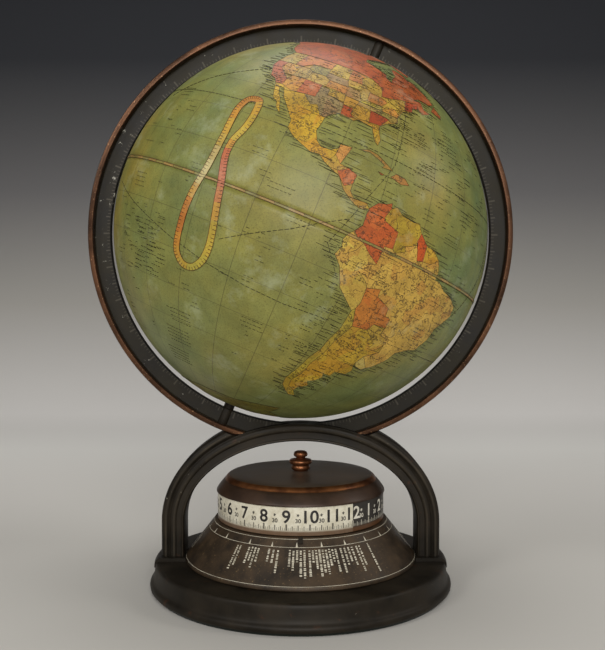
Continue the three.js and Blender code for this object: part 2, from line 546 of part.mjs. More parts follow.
const drumBottom = 20, greatLow = 31, greatHigh = 32.9, coreHigh = greatLow - runGap;
const barrelHole = barrelArborRadius + runGap, drumInner = barrelDrumRadius - barrelWall;
add('barrel_drum', at(turned([[barrelHole, drumBottom], [barrelDrumRadius, drumBottom],
  [barrelDrumRadius, greatLow - fitGap], [drumInner, greatLow - fitGap], [drumInner, drumBottom + barrelWall],
  [barrelHole, drumBottom + barrelWall], [barrelHole, drumBottom]], 24), barrelAt), brass);
add('great_wheel', at(gear(barrelTeeth, barrelModule, barrelHole, greatLow, greatHigh, 0), barrelAt), brass);

// A flat strip wound from one radius to another about a point.
function wound(inner, outer, turns, steps, thick, low, high) {
  const rings = [];
  for (let i = 0; i <= turns * steps; i++) {
    const angle = 2 * Math.PI * i / steps, middle = inner + (outer - inner) * i / (turns * steps);
    rings.push([[-1, low], [-1, high], [1, high], [1, low]].map(([side, z]) => {
      const radius = middle + side * thick / 2;
      return [radius * Math.cos(angle), radius * Math.sin(angle), z];
    }));
  }
  return loft(rings, [[-1, low], [-1, high], [1, high], [1, low]]);
}

const mainspringThick = 0.8, hairspringThick = 0.3;
add('mainspring', at(wound(barrelCoreRadius + mainspringThick, drumInner - mainspringThick, mainspringTurns,
  mainspringSteps, mainspringThick, drumBottom + barrelWall + runGap, coreHigh), barrelAt), blued);
const keyLow = 4.6, keyWingHigh = 9.5, keyHubHigh = 11.5, arborFoot = 6;
add('barrel_arbor', at(turned([[0, arborFoot], [barrelArborRadius, arborFoot],
  [barrelArborRadius, lowerPlateTop + runGap], [barrelCoreRadius, lowerPlateTop + runGap],
  [barrelCoreRadius, drumBottom - runGap], [barrelArborRadius, drumBottom - runGap],
  [barrelArborRadius, drumBottom + barrelWall + runGap], [barrelCoreRadius, drumBottom + barrelWall + runGap],
  [barrelCoreRadius, coreHigh], [barrelArborRadius, coreHigh], [barrelArborRadius, ratchetHigh + fitGap],
  [0, ratchetHigh + fitGap]], 12), barrelAt), steel);

function sawWheel(teeth, tip, depth, bore, low, high) {
  const pitch = 2 * Math.PI / teeth, points = [];
  for (let i = 0; i < teeth; i++) {
    points.push([tip, i * pitch], [tip - depth, (i + 1 - sawFaceShare) * pitch]);
  }
  const shape = new THREE.Shape(points.map(([r, a]) => new THREE.Vector2(r * Math.cos(a), r * Math.sin(a))));
  if (bore > 0) shape.holes.push(new THREE.Path().absarc(0, 0, bore, 0, 2 * Math.PI, true));
  return new THREE.ExtrudeGeometry(shape, { depth: high - low, bevelEnabled: false, curveSegments: 6 })
    .translate(0, 0, low);
}

add('ratchet_wheel', at(sawWheel(ratchetTeeth, ratchetRadius, sawDepth, barrelArborRadius + fitGap, ratchetLow,
  ratchetHigh), barrelAt), steel);
const clickShares = [[0.2, 0.89], [-0.38, 0.89], [-0.448, 0.497], [-0.66, 0.89], [-0.66, 1.14], [0.2, 1.14]];
const click = carve(join(
  at(slab(clickShares.map(([x, y]) => [x * clickReach, y * clickReach]), ratchetLow, ratchetHigh), barrelAt),
  at(rod(clickHubRadius, ratchetLow, ratchetHigh, 14), clickAt)),
  at(rod(studRadius + runGap, padTop, hourLow, 10), clickAt));
add('click', toGeometry(click), steel);
const key = carve(join(rod(keyHubRadius, keyLow, keyHubHigh, 14),
  block(-keyWing, keyWing, -keyThick / 2, keyThick / 2, keyLow, keyWingHigh)),
  rod(barrelArborRadius + fitGap, arborFoot - fitGap, padTop, 12));
add('winding_key', at(toGeometry(key), barrelAt), steel);

// Going train and motion work

const pinionTall = 3;
const arbor = radius => turned([[0, lowerPlateLow + runGap], [pivotRadius, lowerPlateLow + runGap],
  [pivotRadius, lowerPlateTop + runGap], [radius, lowerPlateTop + runGap], [radius, upperPlateLow - runGap],
  [pivotRadius, upperPlateLow - runGap], [pivotRadius, upperPlateTop - runGap], [0, upperPlateTop - runGap]], 6);
const centreLow = 35, centreHigh = 36.5, thirdLow = 24, thirdHigh = 25.2;
const fourthLow = 28.2, fourthHigh = 29.4, escapeLow = 23, escapeHigh = 24.2, cannonLow = 41.8, cannonHigh = 44.9;

add('centre_arbor', toGeometry(join(
  turned([[0, lowerPlateLow + runGap], [pivotRadius, lowerPlateLow + runGap],
    [pivotRadius, lowerPlateTop + runGap], [centreRadius, lowerPlateTop + runGap], [centreRadius, cannonHigh],
    [0, cannonHigh]], 12),
  gear(centrePinionTeeth, barrelModule, 0, greatLow - plateThick / 2, greatHigh + runGap * 2,
    gapTowards(barrelBearing + 180, centrePinionTeeth)),
  gear(centreTeeth, centreModule, 0, centreLow, centreHigh, thirdBearing))), brass);
add('cannon_pinion',
  gear(cannonTeeth, cannonModule, centreRadius + runGap, cannonLow, cannonHigh, minuteBearing), steel);
add('minute_wheel', at(toGeometry(join(
  gear(minuteTeeth, cannonModule, studRadius + runGap, minuteLow, minuteHigh,
    gapTowards(minuteBearing, minuteTeeth)),
  gear(minutePinionTeeth, hourModule, studRadius + runGap, minuteHigh - fitGap, minutePinionHigh,
    minuteBearing + 180))), minuteAt), brass);
add('third_arbor', at(toGeometry(join(arbor(arborRadius),
  gear(thirdPinionTeeth, centreModule, 0, centreLow - runGap, centreLow + pinionTall - runGap * 2,
    gapTowards(thirdBearing, thirdPinionTeeth)),
  gear(thirdTeeth, thirdModule, 0, thirdLow, thirdHigh, fourthBearing))), thirdAt), brass);
add('fourth_arbor', at(toGeometry(join(arbor(arborRadius),
  gear(fourthPinionTeeth, thirdModule, 0, thirdLow - runGap, thirdLow + pinionTall,
    gapTowards(fourthBearing, fourthPinionTeeth)),
  gear(fourthTeeth, fourthModule, 0, fourthLow, fourthHigh, escapeBearing))), fourthAt), brass);
add('escape_arbor', at(toGeometry(join(arbor(arborRadius),
  gear(escapePinionTeeth, fourthModule, 0, fourthLow - runGap, fourthLow + pinionTall,
    gapTowards(escapeBearing, escapePinionTeeth)),
  sawWheel(escapeTeeth, escapeRadius, sawDepth, 0, escapeLow, escapeHigh))), escapeAt), brass);

// A straight bar between two points in plan.
function bar([x1, y1], [x2, y2], width, low, high) {
  const length = Math.hypot(x2 - x1, y2 - y1);
  const turn = Math.atan2(y2 - y1, x2 - x1);
  return block(0, length, -width / 2, width / 2, low, high).rotateZ(turn).translate(x1, y1, 0);
}

const palletSpread = 38, palletClearance = 1.4, palletWidth = 1.2;
const forkClearance = 0.5, leverHubRadius = 2;
const palletTips = [-palletSpread, palletSpread].map(a =>
  stepFrom(escapeAt, escapeRadius + palletClearance, palletBearing + a));
const forkEnd = stepFrom(palletAt, forkReach - rollerRadius - forkClearance, forkBearing);
add('pallet_lever', toGeometry(join(at(arbor(arborRadius), palletAt),
  at(rod(leverHubRadius, escapeLow, escapeHigh, 10), palletAt),
  ...palletTips.map(tip => bar(palletAt, tip, palletWidth, escapeLow, escapeHigh)),
  bar(palletAt, forkEnd, palletWidth, escapeLow, escapeHigh))), steel);
const balanceLow = 29.2, balanceHigh = 30.7;
add('balance_wheel', at(toGeometry(join(arbor(arborRadius),
  rod(rollerRadius, escapeLow - runGap, escapeHigh + runGap),
  tube(balanceRadius, balanceRadius - balanceRimWall, balanceLow, balanceHigh, 18),
  block(balanceRimWall / 2 - balanceRadius, balanceRadius - balanceRimWall / 2, -palletWidth, palletWidth,
    balanceLow, balanceHigh))), balanceAt), brass);
add('hairspring', at(wound(springInner, springOuter, springTurns, springSteps, hairspringThick, springLow,
  springHigh), balanceAt), blued);

export default root;
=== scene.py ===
import math
import random
from functools import partial

import bmesh
import bpy
from mathutils import Matrix, Vector


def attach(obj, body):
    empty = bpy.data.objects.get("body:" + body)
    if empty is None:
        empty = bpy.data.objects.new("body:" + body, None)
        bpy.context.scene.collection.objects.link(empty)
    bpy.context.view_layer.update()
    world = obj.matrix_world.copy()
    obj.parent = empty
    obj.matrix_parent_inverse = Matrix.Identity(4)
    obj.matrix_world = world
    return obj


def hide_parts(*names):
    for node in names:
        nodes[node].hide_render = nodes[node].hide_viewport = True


# Desk globe with a world clock in its base, built over the fixed frame. Metres, Z up, front is -Y.
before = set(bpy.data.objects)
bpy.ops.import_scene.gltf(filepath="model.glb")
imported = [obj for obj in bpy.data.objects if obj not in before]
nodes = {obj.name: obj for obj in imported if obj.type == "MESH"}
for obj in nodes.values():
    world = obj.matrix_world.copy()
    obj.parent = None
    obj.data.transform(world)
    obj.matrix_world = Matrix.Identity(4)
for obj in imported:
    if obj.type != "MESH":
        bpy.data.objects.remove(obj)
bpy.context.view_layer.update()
mm = 0.001
rng = random.Random(11)


def tint(code):
    parts = [int(code[i:i + 2], 16) / 255 for i in (1, 3, 5)]
    return [p / 12.92 if p <= 0.04045 else ((p + 0.055) / 1.055) ** 2.4 for p in parts] + [1]


# What a list of inputs fills in turn, for the kinds where it isn't simply the first ones
inputOrder = {"Mix": (0, 6, 7), "TexNoise": ("Vector", "Scale", "Detail", "Roughness"),
              "Bump": ("Height", "Distance", "Strength")}


# Adds a node to a tree. A second word in its kind is its operation or blend type. A list fills its inputs in
# turn and a dictionary by name, with values, colour codes, sockets or nodes. A node stands for its result.
def addNode(tree, kind, inputs=(), stops=(), **settings):
    kind, *choice = kind.split()
    made = tree.nodes.new("ShaderNode" + kind)
    if kind == "Mix":
        made.data_type = "RGBA"
    if choice:
        setattr(made, "blend_type" if kind == "Mix" else "operation", choice[0])
    for key, value in settings.items():
        setattr(made, key, value)
    marks = made.color_ramp.elements if stops else []
    while len(marks) < len(stops):
        marks.new(1)
    for mark, (place, code) in zip(marks, stops):
        mark.position, mark.color = place, tint(code)
    if not isinstance(inputs, dict):
        inputs = dict(zip(inputOrder.get(kind, range(len(inputs))), inputs))
    for key, value in inputs.items():
        if isinstance(value, bpy.types.Node):
            value = value.outputs[2 if value.bl_idname == "ShaderNodeMix" else 0]
        if isinstance(value, bpy.types.NodeSocket):
            tree.links.new(value, made.inputs[key])
        else:
            made.inputs[key].default_value = tint(value) if isinstance(value, str) else value
    return made


# A material whose paint works out the shader's inputs from Object coordinates
def newMaterial(name, paint):
    made = bpy.data.materials.new(name)
    made.use_nodes = True
    made.node_tree.nodes.clear()
    add = partial(addNode, made.node_tree)
    place = add("TexCoord").outputs["Object"]
    add("OutputMaterial", {"Surface": add("BsdfPrincipled", paint(add, place))})
    return made


# Metals and paints, each with a dark, a middle and a rubbed colour. A worn one shows red brown in patches and
# small white chips, and marks go over the colour.
def metal(name, dark, middle, rubbed, metallic, rough, rubAt=0.66, blotWide=28, fleckWide=1.6, gloss=0.5,
          worn=None, marks=None):
    def paint(add, place):
        broad = add("TexNoise", [place, 1 / (blotWide * mm), 5, 0.55])
        body = add("ValToRGB", [broad], [(0.32, dark), (0.68, middle)])
        fine = add("TexNoise", [place, 1 / (fleckWide * mm), 4, 0.65])
        flecks = add("ValToRGB", [fine], [(rubAt, "#000000"), (rubAt + 0.07, "#ffffff")])
        color = add("Mix", [flecks, body, rubbed])
        if worn:
            patches = add("ValToRGB", [add("TexNoise", [place, 1 / (12 * mm), 8, 0.7])],
                          [(0.6, "#000000"), (0.68, "#ffffff")])
            chips = add("ValToRGB", [add("TexNoise", [place, 1 / (4.5 * mm), 6, 0.72])],
                        [(0.7, "#000000"), (0.72, "#ffffff")])
            color = add("Mix", [add("Math MULTIPLY", [patches, 0.45]), color, worn])
            color = add("Mix", [chips, color, "#a9a292"])
        return {"Base Color": marks(add, place, color) if marks else color,
                "Metallic": metallic, "Specular IOR Level": gloss,
                "Roughness": add("MapRange", [broad, 0.3, 0.7, rough - 0.07, rough + 0.1]),
                "Normal": add("Bump", [fine, 0.12 * mm, 0.35])}
    return newMaterial(name, paint)


# Brown black patina on bronze, with pale specks where it is chipped
patina = metal("Dark bronze patina", "#17130c", "#2e271d", "#6d5f4c", 0.3, 0.5, 0.72, gloss=0.25,
                worn="#4d2f1c")
# The raised reeds, where hands have rubbed the patina to a greyer brown
reedPatina = metal("Rubbed patina on the reeds", "#1f1a12", "#3b3326", "#a39a88", 0.35, 0.46, 0.67, 18,
                   gloss=0.3, worn="#53402c")
# Brown copper that the patina has left on top of the lid
lidCopper = metal("Browned copper of the lid", "#43372c", "#675849", "#857060", 0.5, 0.42, 0.72, 40, 2.5)
# The lid's stepped skirt, darker as painted shade under the rolled edge
lidShadedBrown = metal("Dark brown painted shade of the lid's skirt", "#2a1c11", "#453020", "#6b4d38", 0.4, 0.42, 0.72, 30, 2)
# Thinner brown on the lid's top edge, where the copper shows through, made brighter as a painted highlight on
# the roll
rolledCopperHighlight = metal("Rubbed copper and painted highlight of the lid's edge", "#5a3520", "#8a5730", "#b27c4c", 0.85, 0.36, 0.66,
                     12, 2)
# Bright buffed copper of the knob
brightCopper = metal("Buffed copper", "#5f3a24", "#8a5838", "#b07c55", 0.85, 0.34, 0.72, 18, 2)
# Steel of the screws, pins and pinions
steel = metal("Bright steel", "#8b8b88", "#a4a4a0", "#bcbcb6", 1, 0.32, 0.78, 12, 0.8)
# Lacquered brass of the movement
brass = metal("Lacquered brass", "#a5823e", "#b9944c", "#cfae68", 1, 0.3, 0.78, 14, 0.9)
# Springs tempered blue
blued = metal("Blued spring steel", "#232d4a", "#2f3c60", "#5a678a", 1, 0.3, 0.8, 8, 0.8)


def woodGrain(add, place):
    grain = add("TexWave", {"Vector": place, "Scale": 90, "Distortion": 6, "Detail": 3})
    return {"Base Color": add("ValToRGB", [grain], [(0, "#7d5c38"), (1, "#a98456")]), "Roughness": 0.62,
            "Normal": add("Bump", [grain, 0.1 * mm, 0.3])}


def feltCloth(add, place):
    fuzz = add("TexNoise", [place, 1 / (0.5 * mm), 6, 0.7])
    return {"Base Color": add("ValToRGB", [fuzz], [(0.3, "#0f130e"), (0.7, "#1c2219")]), "Roughness": 0.95,
            "Sheen Weight": 0.4, "Specular IOR Level": 0.2,
            "Normal": add("Bump", [fuzz, 0.3 * mm, 0.8])}


paleWood, felt = newMaterial("Pale turned wood", woodGrain), newMaterial("Green felt", feltCloth)
print("metals, wood and felt ready")


# An object that stands in the scene
def placed(name, data):
    made = bpy.data.objects.new(name, data)
    bpy.context.collection.objects.link(made)
    return made


def meshOf(name, bm):
    data = bpy.data.meshes.new(name)
    bm.to_mesh(data)
    bm.free()
    return data


# The mesh of an object after its modifiers or its curve
def shapeOf(made):
    return bpy.data.meshes.new_from_object(made.evaluated_get(bpy.context.evaluated_depsgraph_get()))


# A piece from its mesh, on its body, with the nodes that it stands for
def keep(name, bm, materials, body, slot, *standsFor, sharp=32):
    bmesh.ops.remove_doubles(bm, verts=bm.verts, dist=1e-6)
    bmesh.ops.recalc_face_normals(bm, faces=bm.faces)
    made = placed(name, meshOf(name, bm))
    for one in materials:
        made.data.materials.append(one)
    made.data.shade_smooth()
    made.data.set_sharp_from_angle(angle=math.radians(sharp))
    if body:
        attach(made, body)
        if standsFor:
            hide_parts(*standsFor)
    return made


# A profile of [radius, height] in millimetres turned about Z
def turned(profile, steps=128, closed=False):
    bm = bmesh.new()
    points = [bm.verts.new((r * mm, 0, z * mm)) for r, z in profile]
    pairs = list(zip(points, points[1:])) + ([(points[-1], points[0])] if closed else [])
    edges = [bm.edges.new(pair) for pair in pairs]
    bmesh.ops.spin(bm, geom=points + edges, axis=(0, 0, 1), cent=(0, 0, 0), angle=2 * math.pi, steps=steps,
                   use_merge=True)
    bmesh.ops.remove_doubles(bm, verts=bm.verts, dist=1e-6)
    return bm


# Takes the cutter away from the piece, or leaves only what both share
def cut(piece, bm, operation="DIFFERENCE"):
    bmesh.ops.recalc_face_normals(bm, faces=bm.faces)
    cutter = placed("cutter", meshOf("cutter", bm))
    modifier = piece.modifiers.new("cut", "BOOLEAN")
    modifier.object, modifier.operation, modifier.solver = cutter, operation, "EXACT"
    done = shapeOf(piece)
    piece.modifiers.clear()
    piece.data = done
    done.name = piece.name
    bpy.data.objects.remove(cutter)


def boxOf(low, high):
    bm = bmesh.new()
    bmesh.ops.create_cube(bm, size=1)
    for v in bm.verts:
        v.co = [(low[i] + high[i]) / 2 * mm + v.co[i] * (high[i] - low[i]) * mm for i in range(3)]
    return bm


# A front view outline of [x, z] given depth along Y
def frontPrism(points, low, high):
    bm = bmesh.new()
    face = bm.faces.new([bm.verts.new((x * mm, low * mm, z * mm)) for x, z in points])
    moved = bmesh.ops.extrude_face_region(bm, geom=[face])["geom"]
    bmesh.ops.translate(bm, verts=[v for v in moved if isinstance(v, bmesh.types.BMVert)],
                        vec=(0, (high - low) * mm, 0))
    return bm


# Base: stepped foot with the two pads that the arch stands on
base = {
    "foot": [(113, 2.2), (122.4, 2.2), (123.6, 2.6), (124.4, 3.6), (124.6, 4.9), (124.4, 6.1), (123.9, 7),
        (123.1, 7.8), (122.2, 8.6), (121.6, 9.8), (121.1, 12), (120.7, 15.5), (120.4, 18.4), (120.2, 20),
        (119.7, 21.3), (118.7, 22.2), (117.4, 22.5), (60, 22.5), (60, 17.3), (113, 17.3)],
    "pad": [(96, 17.6), (121.2, 17.6), (121.2, 20.2), (120.9, 21.9), (120, 23.4), (118.6, 24.6),
        (116.8, 25.2), (96, 25.2)],
    "padHalf": 18.5,
    "felt": [(110, 0), (110, 1.7), (110.4, 2.1), (120.6, 2.1), (121, 1.7), (121, 0)],
}
keep("base_foot", turned(base["foot"], 144, True), [patina], "frame", "patinated_bronze", "base_shell")
for side in (-1, 1):
    bm = bmesh.new()
    points = [bm.verts.new((side * r * mm, 0, z * mm)) for r, z in base["pad"]]
    face = bm.faces.new(points)
    bmesh.ops.rotate(bm, verts=bm.verts, cent=(0, 0, 0), matrix=Matrix.Rotation(math.radians(-12), 3, "Z"))
    bmesh.ops.spin(bm, geom=[face], axis=(0, 0, 1), cent=(0, 0, 0), angle=math.radians(24), steps=32)
    for way in (-1, 1):
        everything = bm.verts[:] + bm.edges[:] + bm.faces[:]
        sliced = bmesh.ops.bisect_plane(bm, geom=everything, plane_co=(0, way * base["padHalf"] * mm, 0),
                                        plane_no=(0, way, 0), clear_outer=True)
        rim = [e for e in sliced["geom_cut"] if isinstance(e, bmesh.types.BMEdge)]
        bmesh.ops.holes_fill(bm, edges=rim, sides=0)
    name = "base_pad_left" if side < 0 else "base_pad_right"
    keep(name, bm, [patina], "frame", "patinated_bronze", "base_shell")
keep("felt_pad_ring", turned(base["felt"], 96, True), [felt], "frame", "felt", "felt_foot_ring")
print("base ready")


# Arch: a reeded bar along two ellipses, cut away where the ring's rim passes
arch = {
    "outerHalf": 114.8, "outerRise": 88.5, "outerSpring": 54, "innerHalf": 96, "innerRise": 67,
    "innerSpring": 53.5, "foot": 25.3, "half": 14, "reed": 4.6, "drop": 8, "seatFloor": 126, "steps": 144,
    "section": [(0, 0.86), (0.02, 0.95), (0.05, 1), (0.09, 0.985), (0.12, 0.94), (0.16, 0.93), (0.33, 0.93),
        (0.36, 0.96), (0.4, 0.995), (0.48, 1), (0.55, 0.99), (0.59, 0.955), (0.62, 0.9), (0.65, 0.88),
        (0.69, 0.9), (0.73, 0.95), (0.77, 0.975), (0.85, 0.97), (0.92, 0.93), (0.97, 0.86), (1, 0.78)],
    "rubbed": [(0.41, 0.5), (0.04, 0.1), (0.78, 0.86)],
}
ring = {"centre": 291.5, "webInner": 157.5, "web": 3, "rimInner": 170.7, "rimOuter": 175, "rim": 10.5,
        "steps": 192, "gap": 0.3, "boss": 5, "bossStart": 157.2, "bossEdge": 0.8}
centre = Vector((0, 0, ring["centre"] * mm))


def archBar():
    section = [(u, -v) for u, v in arch["section"]] + [(u, v) for u, v in reversed(arch["section"])]
    section.append(section[0])
    legSteps, rings = 10, []
    for i in range(legSteps):
        share = i / legSteps
        rings.append([(arch["innerHalf"], arch["foot"] + share * (arch["innerSpring"] - arch["foot"])),
                      (arch["outerHalf"], arch["foot"] + share * (arch["outerSpring"] - arch["foot"]))])
    for i in range(arch["steps"] + 1):
        c, s = math.cos(math.pi * i / arch["steps"]), math.sin(math.pi * i / arch["steps"])
        rings.append([(arch["innerHalf"] * c, arch["innerSpring"] + arch["innerRise"] * s),
                      (arch["outerHalf"] * c, arch["outerSpring"] + arch["outerRise"] * s)])
    rings += [[(-x, z) for x, z in pair] for pair in reversed(rings[:legSteps])]
    bm = bmesh.new()
    across, along = len(section) - 1, len(rings) - 1
    bmesh.ops.create_grid(bm, x_segments=across, y_segments=along, size=1)
    # The raised reeds take the rubbed patina
    for face in bm.faces:
        at = (face.calc_center_median().x + 1) / 2 * across
        share = (section[math.floor(at)][0] + section[math.ceil(at)][0]) / 2
        face.material_index = int(any(low < share < high for low, high in arch["rubbed"]))
    for v in bm.verts:
        u, y = section[round((v.co.x + 1) / 2 * across)]
        (x1, z1), (x2, z2) = rings[round((v.co.y + 1) / 2 * along)]
        v.co = (x1 + u * (x2 - x1), y * arch["half"], z1 + u * (z2 - z1))
        v.co *= mm
    bmesh.ops.remove_doubles(bm, verts=bm.verts, dist=1e-6)
    bmesh.ops.holes_fill(bm, edges=[e for e in bm.edges if e.is_boundary], sides=0)
    return bm


def seatOutline(grow):
    half, rise = arch["outerHalf"] - arch["reed"] + grow, arch["outerRise"] - arch["drop"] + grow
    turns = [math.pi * i / 60 for i in range(61)]
    return [(half * math.cos(a), arch["outerSpring"] + rise * math.sin(a)) for a in turns]


def ringDisc(radius, half):
    bm = bmesh.new()
    bmesh.ops.create_cone(bm, cap_ends=True, segments=ring["steps"], radius1=radius * mm, radius2=radius * mm,
                          depth=half * 2 * mm)
    bmesh.ops.rotate(bm, verts=bm.verts, cent=(0, 0, 0), matrix=Matrix.Rotation(math.pi / 2, 3, "X"))
    bmesh.ops.translate(bm, verts=bm.verts, vec=centre)
    return bm


seatCut = keep("seat_cut", ringDisc(ring["rimOuter"] + ring["gap"], 30), [], None, None)
cut(seatCut, frontPrism(seatOutline(0), -40, 40))
slotCut = keep("slot_cut", ringDisc(ring["rimOuter"] + ring["gap"], ring["web"] + 0.1), [], None, None)
cut(slotCut, boxOf((-70, -20, arch["seatFloor"]), (70, 20, 200)), "INTERSECT")
archPiece = keep("arch_reeded", archBar(), [patina, reedPatina], "frame", "patinated_bronze", "arch_bracket")
for tool in (seatCut, slotCut):
    shape = bmesh.new()
    shape.from_mesh(tool.data)
    cut(archPiece, shape)
    bpy.data.objects.remove(tool)
archPiece.data.set_sharp_from_angle(angle=math.radians(32))
print("arch ready")


# Meridian ring: flat web with degree marks, wide rim, a boss at each pole
tilt = math.radians(22.6)
leaned = Matrix.Rotation(tilt, 4, "Y")


# Degree marks near the web's inner edge, longer at every five and ten, and white chips, thickest on the left
def webMarks(add, place, color):
    across, _, up = add("SeparateXYZ", [add("VectorMath SUBTRACT", [place, tuple(centre)])]).outputs
    squares = [add("Math POWER", [side, 2]) for side in (across, up)]
    radius = add("Math SQRT", [add("Math ADD", squares)])
    angle = add("Math ARCTAN2", [across, up])
    lines = 0
    for every, reach, thin in ((1, 160.6, 0.2), (5, 162, 0.07), (10, 163.6, 0.045)):
        turn = add("Math FRACT", [add("Math MULTIPLY", [angle, 180 / math.pi / every])])
        near = add("Math LESS_THAN", [radius, reach * mm])
        both = add("Math MULTIPLY", [add("Math LESS_THAN", [turn, thin]), near])
        lines = add("Math MAXIMUM", [lines, both])
    lines = add("Math MULTIPLY", [lines, add("Math GREATER_THAN", [radius, 158.4 * mm])])
    color = add("Mix", [add("Math MULTIPLY", [lines, 0.5]), color, "#5c564a"])
    edge = add("Math MULTIPLY", [add("Math LESS_THAN", [radius, 158.3 * mm]), 0.8])
    color = add("Mix", [edge, color, "#100e0c"])
    chips = add("Math ADD", [add("TexNoise", [place, 1 / (6 * mm), 7, 0.72]),
                             add("MapRange", [across, -0.05, -0.17, 0, 0.06])])
    chips = add("ValToRGB", [chips], [(0.68, "#000000"), (0.71, "#ffffff")])
    return add("Mix", [chips, color, "#a9a598"])


# The rim is copper that has browned away from the rubbed front edge
webPlate = metal("Grey brown web of the ring", "#1b1710", "#2e291e", "#857c66", 0.2, 0.55, 0.7, 22, 1.4, 0.3,
                 marks=webMarks)
ringRim = metal("Browned copper of the rim", "#412b1c", "#67452e", "#a87f5c", 0.75, 0.34, 0.62, 26, 1.8)


def ringProfile():
    inner, outer, web, rim = ring["webInner"], ring["rimOuter"], ring["web"], ring["rim"]
    front = [(inner + 0.5, -web), (ring["rimInner"] - 0.8, -web), (ring["rimInner"], -web - 0.8),
             (ring["rimInner"], 0.5 - rim), (ring["rimInner"] + 0.5, -rim), (outer - 1.3, -rim),
             (outer - 0.5, 0.3 - rim), (outer, 1.1 - rim)]
    return [(inner, 0.5 - web)] + front + [(r, -y) for r, y in reversed(front)] + [(inner, web - 0.5)]


bm = bmesh.new()
points = [bm.verts.new((r * mm, y * mm, 0)) for r, y in ringProfile()]
edges = [bm.edges.new((points[i - 1], points[i])) for i in range(len(points))]
bmesh.ops.spin(bm, geom=points + edges, axis=(0, 1, 0), cent=(0, 0, 0), angle=2 * math.pi, steps=ring["steps"],
               use_merge=True)
for face in bm.faces:
    middle = face.calc_center_median()
    face.material_index = 1 if math.hypot(middle.x, middle.z) > (ring["rimInner"] - 0.1) * mm else 0
bmesh.ops.translate(bm, verts=bm.verts, vec=centre)
ringPiece = keep("ring_web_and_rim", bm, [webPlate, ringRim], "frame", "patinated_bronze", "meridian_ring")
for low, high in ((ring["web"] + 0.05, 30), (-30, -ring["web"] - 0.05)):
    cut(ringPiece, frontPrism(seatOutline(0.1), low, high))
cut(ringPiece, boxOf((-120, -30, 20), (120, 30, arch["seatFloor"] + 0.1)))
ringPiece.data.set_sharp_from_angle(angle=math.radians(32))
for pole, side in (("north", 1), ("south", -1)):
    bm = bmesh.new()
    bmesh.ops.create_cone(bm, cap_ends=True, segments=32, radius1=ring["boss"] * mm, radius2=ring["boss"] * mm,
                          depth=(ring["rimInner"] + 1 - ring["bossStart"]) * mm)
    bmesh.ops.bevel(bm, geom=[e for e in bm.edges if len(e.link_faces) == 2 and e.calc_face_angle(0) > 1],
                    offset=ring["bossEdge"] * mm, segments=3, profile=0.5, affect="EDGES", material=-1)
    middle = (ring["rimInner"] + 1 + ring["bossStart"]) / 2
    bmesh.ops.translate(bm, verts=bm.verts, vec=(0, 0, side * middle * mm))
    bmesh.ops.transform(bm, verts=bm.verts, matrix=Matrix.Translation(centre) @ leaned)
    keep(f"ring_boss_{pole}", bm, [patina], "frame", "patinated_bronze", "meridian_ring")
print("ring ready")


# Meridian cone: dark plate with pale lines, arrowheads and columns of plain dashes
cone = {
    "top": (71.2, 56), "foot": (95.5, 25.9), "inkLift": 0.12, "circles": (1.1, 7.6, 38.1), "lineHalf": 0.16,
    "profile": [(80.5, 22.7), (93.6, 22.7), (94.9, 22.8), (95.5, 23.4), (95.5, 25.1), (95.1, 25.9),
        (94.2, 26.8), (71.9, 55.2), (71.2, 56), (70.2, 56.2), (60.2, 56.2), (60.2, 54.6), (69.6, 54.4),
        (93, 25.4), (92.6, 24.9), (80.5, 24.9)],
}


# Turn in degrees from the front, drop in millimetres down the slope from the cone's top edge
def coneSpot(turn, drop):
    slope = (Vector(cone["foot"]) - Vector(cone["top"])).normalized()
    out = Vector((-slope.y, slope.x))
    r, z = Vector(cone["top"]) + slope * drop + out * cone["inkLift"]
    a = math.radians(turn)
    return Vector((r * math.sin(a), -r * math.cos(a), z)) * mm


# A flat patch lying on the cone, its corners given by turn and drop
def conePatch(bm, turnLow, turnHigh, dropLow, dropHigh):
    steps = max(1, round(abs(turnHigh - turnLow) / 3))
    made = bmesh.ops.create_grid(bm, x_segments=steps, y_segments=1, size=1)["verts"]
    for v in made:
        x, y = (v.co.x + 1) / 2, (v.co.y + 1) / 2
        v.co = coneSpot(turnLow + x * (turnHigh - turnLow), dropLow + y * (dropHigh - dropLow))


def coneMarks():
    bm = bmesh.new()
    for drop in cone["circles"]:
        for i in range(120):
            conePatch(bm, i * 3, i * 3 + 3, drop - cone["lineHalf"], drop + cone["lineHalf"])
    # A narrow arrowhead for each hour stands on the second circle
    for hour in range(24):
        turn = -31 + hour * 14.4 if hour < 5 else 41.5 + (hour - 5) * 14.9
        head = [coneSpot(turn - 0.65, 7.5), coneSpot(turn + 0.65, 7.5), coneSpot(turn, 3.2)]
        bm.faces.new([bm.verts.new(p) for p in head])
    # Strings of plain dashes run down the slope, a few to each arrowhead. Start, end and number of strings.
    groups = [(-30, -24, 4), (-17.7, -12.5, 3), (-5.9, 2.1, 5), (4.8, 19.7, 9), (22.8, 29.9, 4), (33, 35, 2),
              (41.5, 41.5, 1), (-38, -36, 2)]
    groups += [(at, at + rng.uniform(9, 13), rng.randint(3, 6)) for at in range(84, 266, 18)]
    for start, end, count in groups:
        for i in range(count):
            turn = start + (end - start) * (i / (count - 1) if count > 1 else 0)
            drop, stop = 9.5 + rng.uniform(0, 0.8), 9.5 + rng.uniform(9, 23)
            while drop < stop:
                tall = rng.uniform(0.5, 1.5)
                half = rng.uniform(0.46, 0.62)
                conePatch(bm, turn - half, turn + half, drop, drop + tall)
                drop += tall + rng.choice((0.4, 0.4, 1.1))
    return bm


# Cream paint of the marks on the cone, a little rubbed
creamInk = metal("Cream paint of the cone's marks", "#a59c86", "#d6cdb6", "#5a5140", 0, 0.6, 0.62, 9, 0.9)
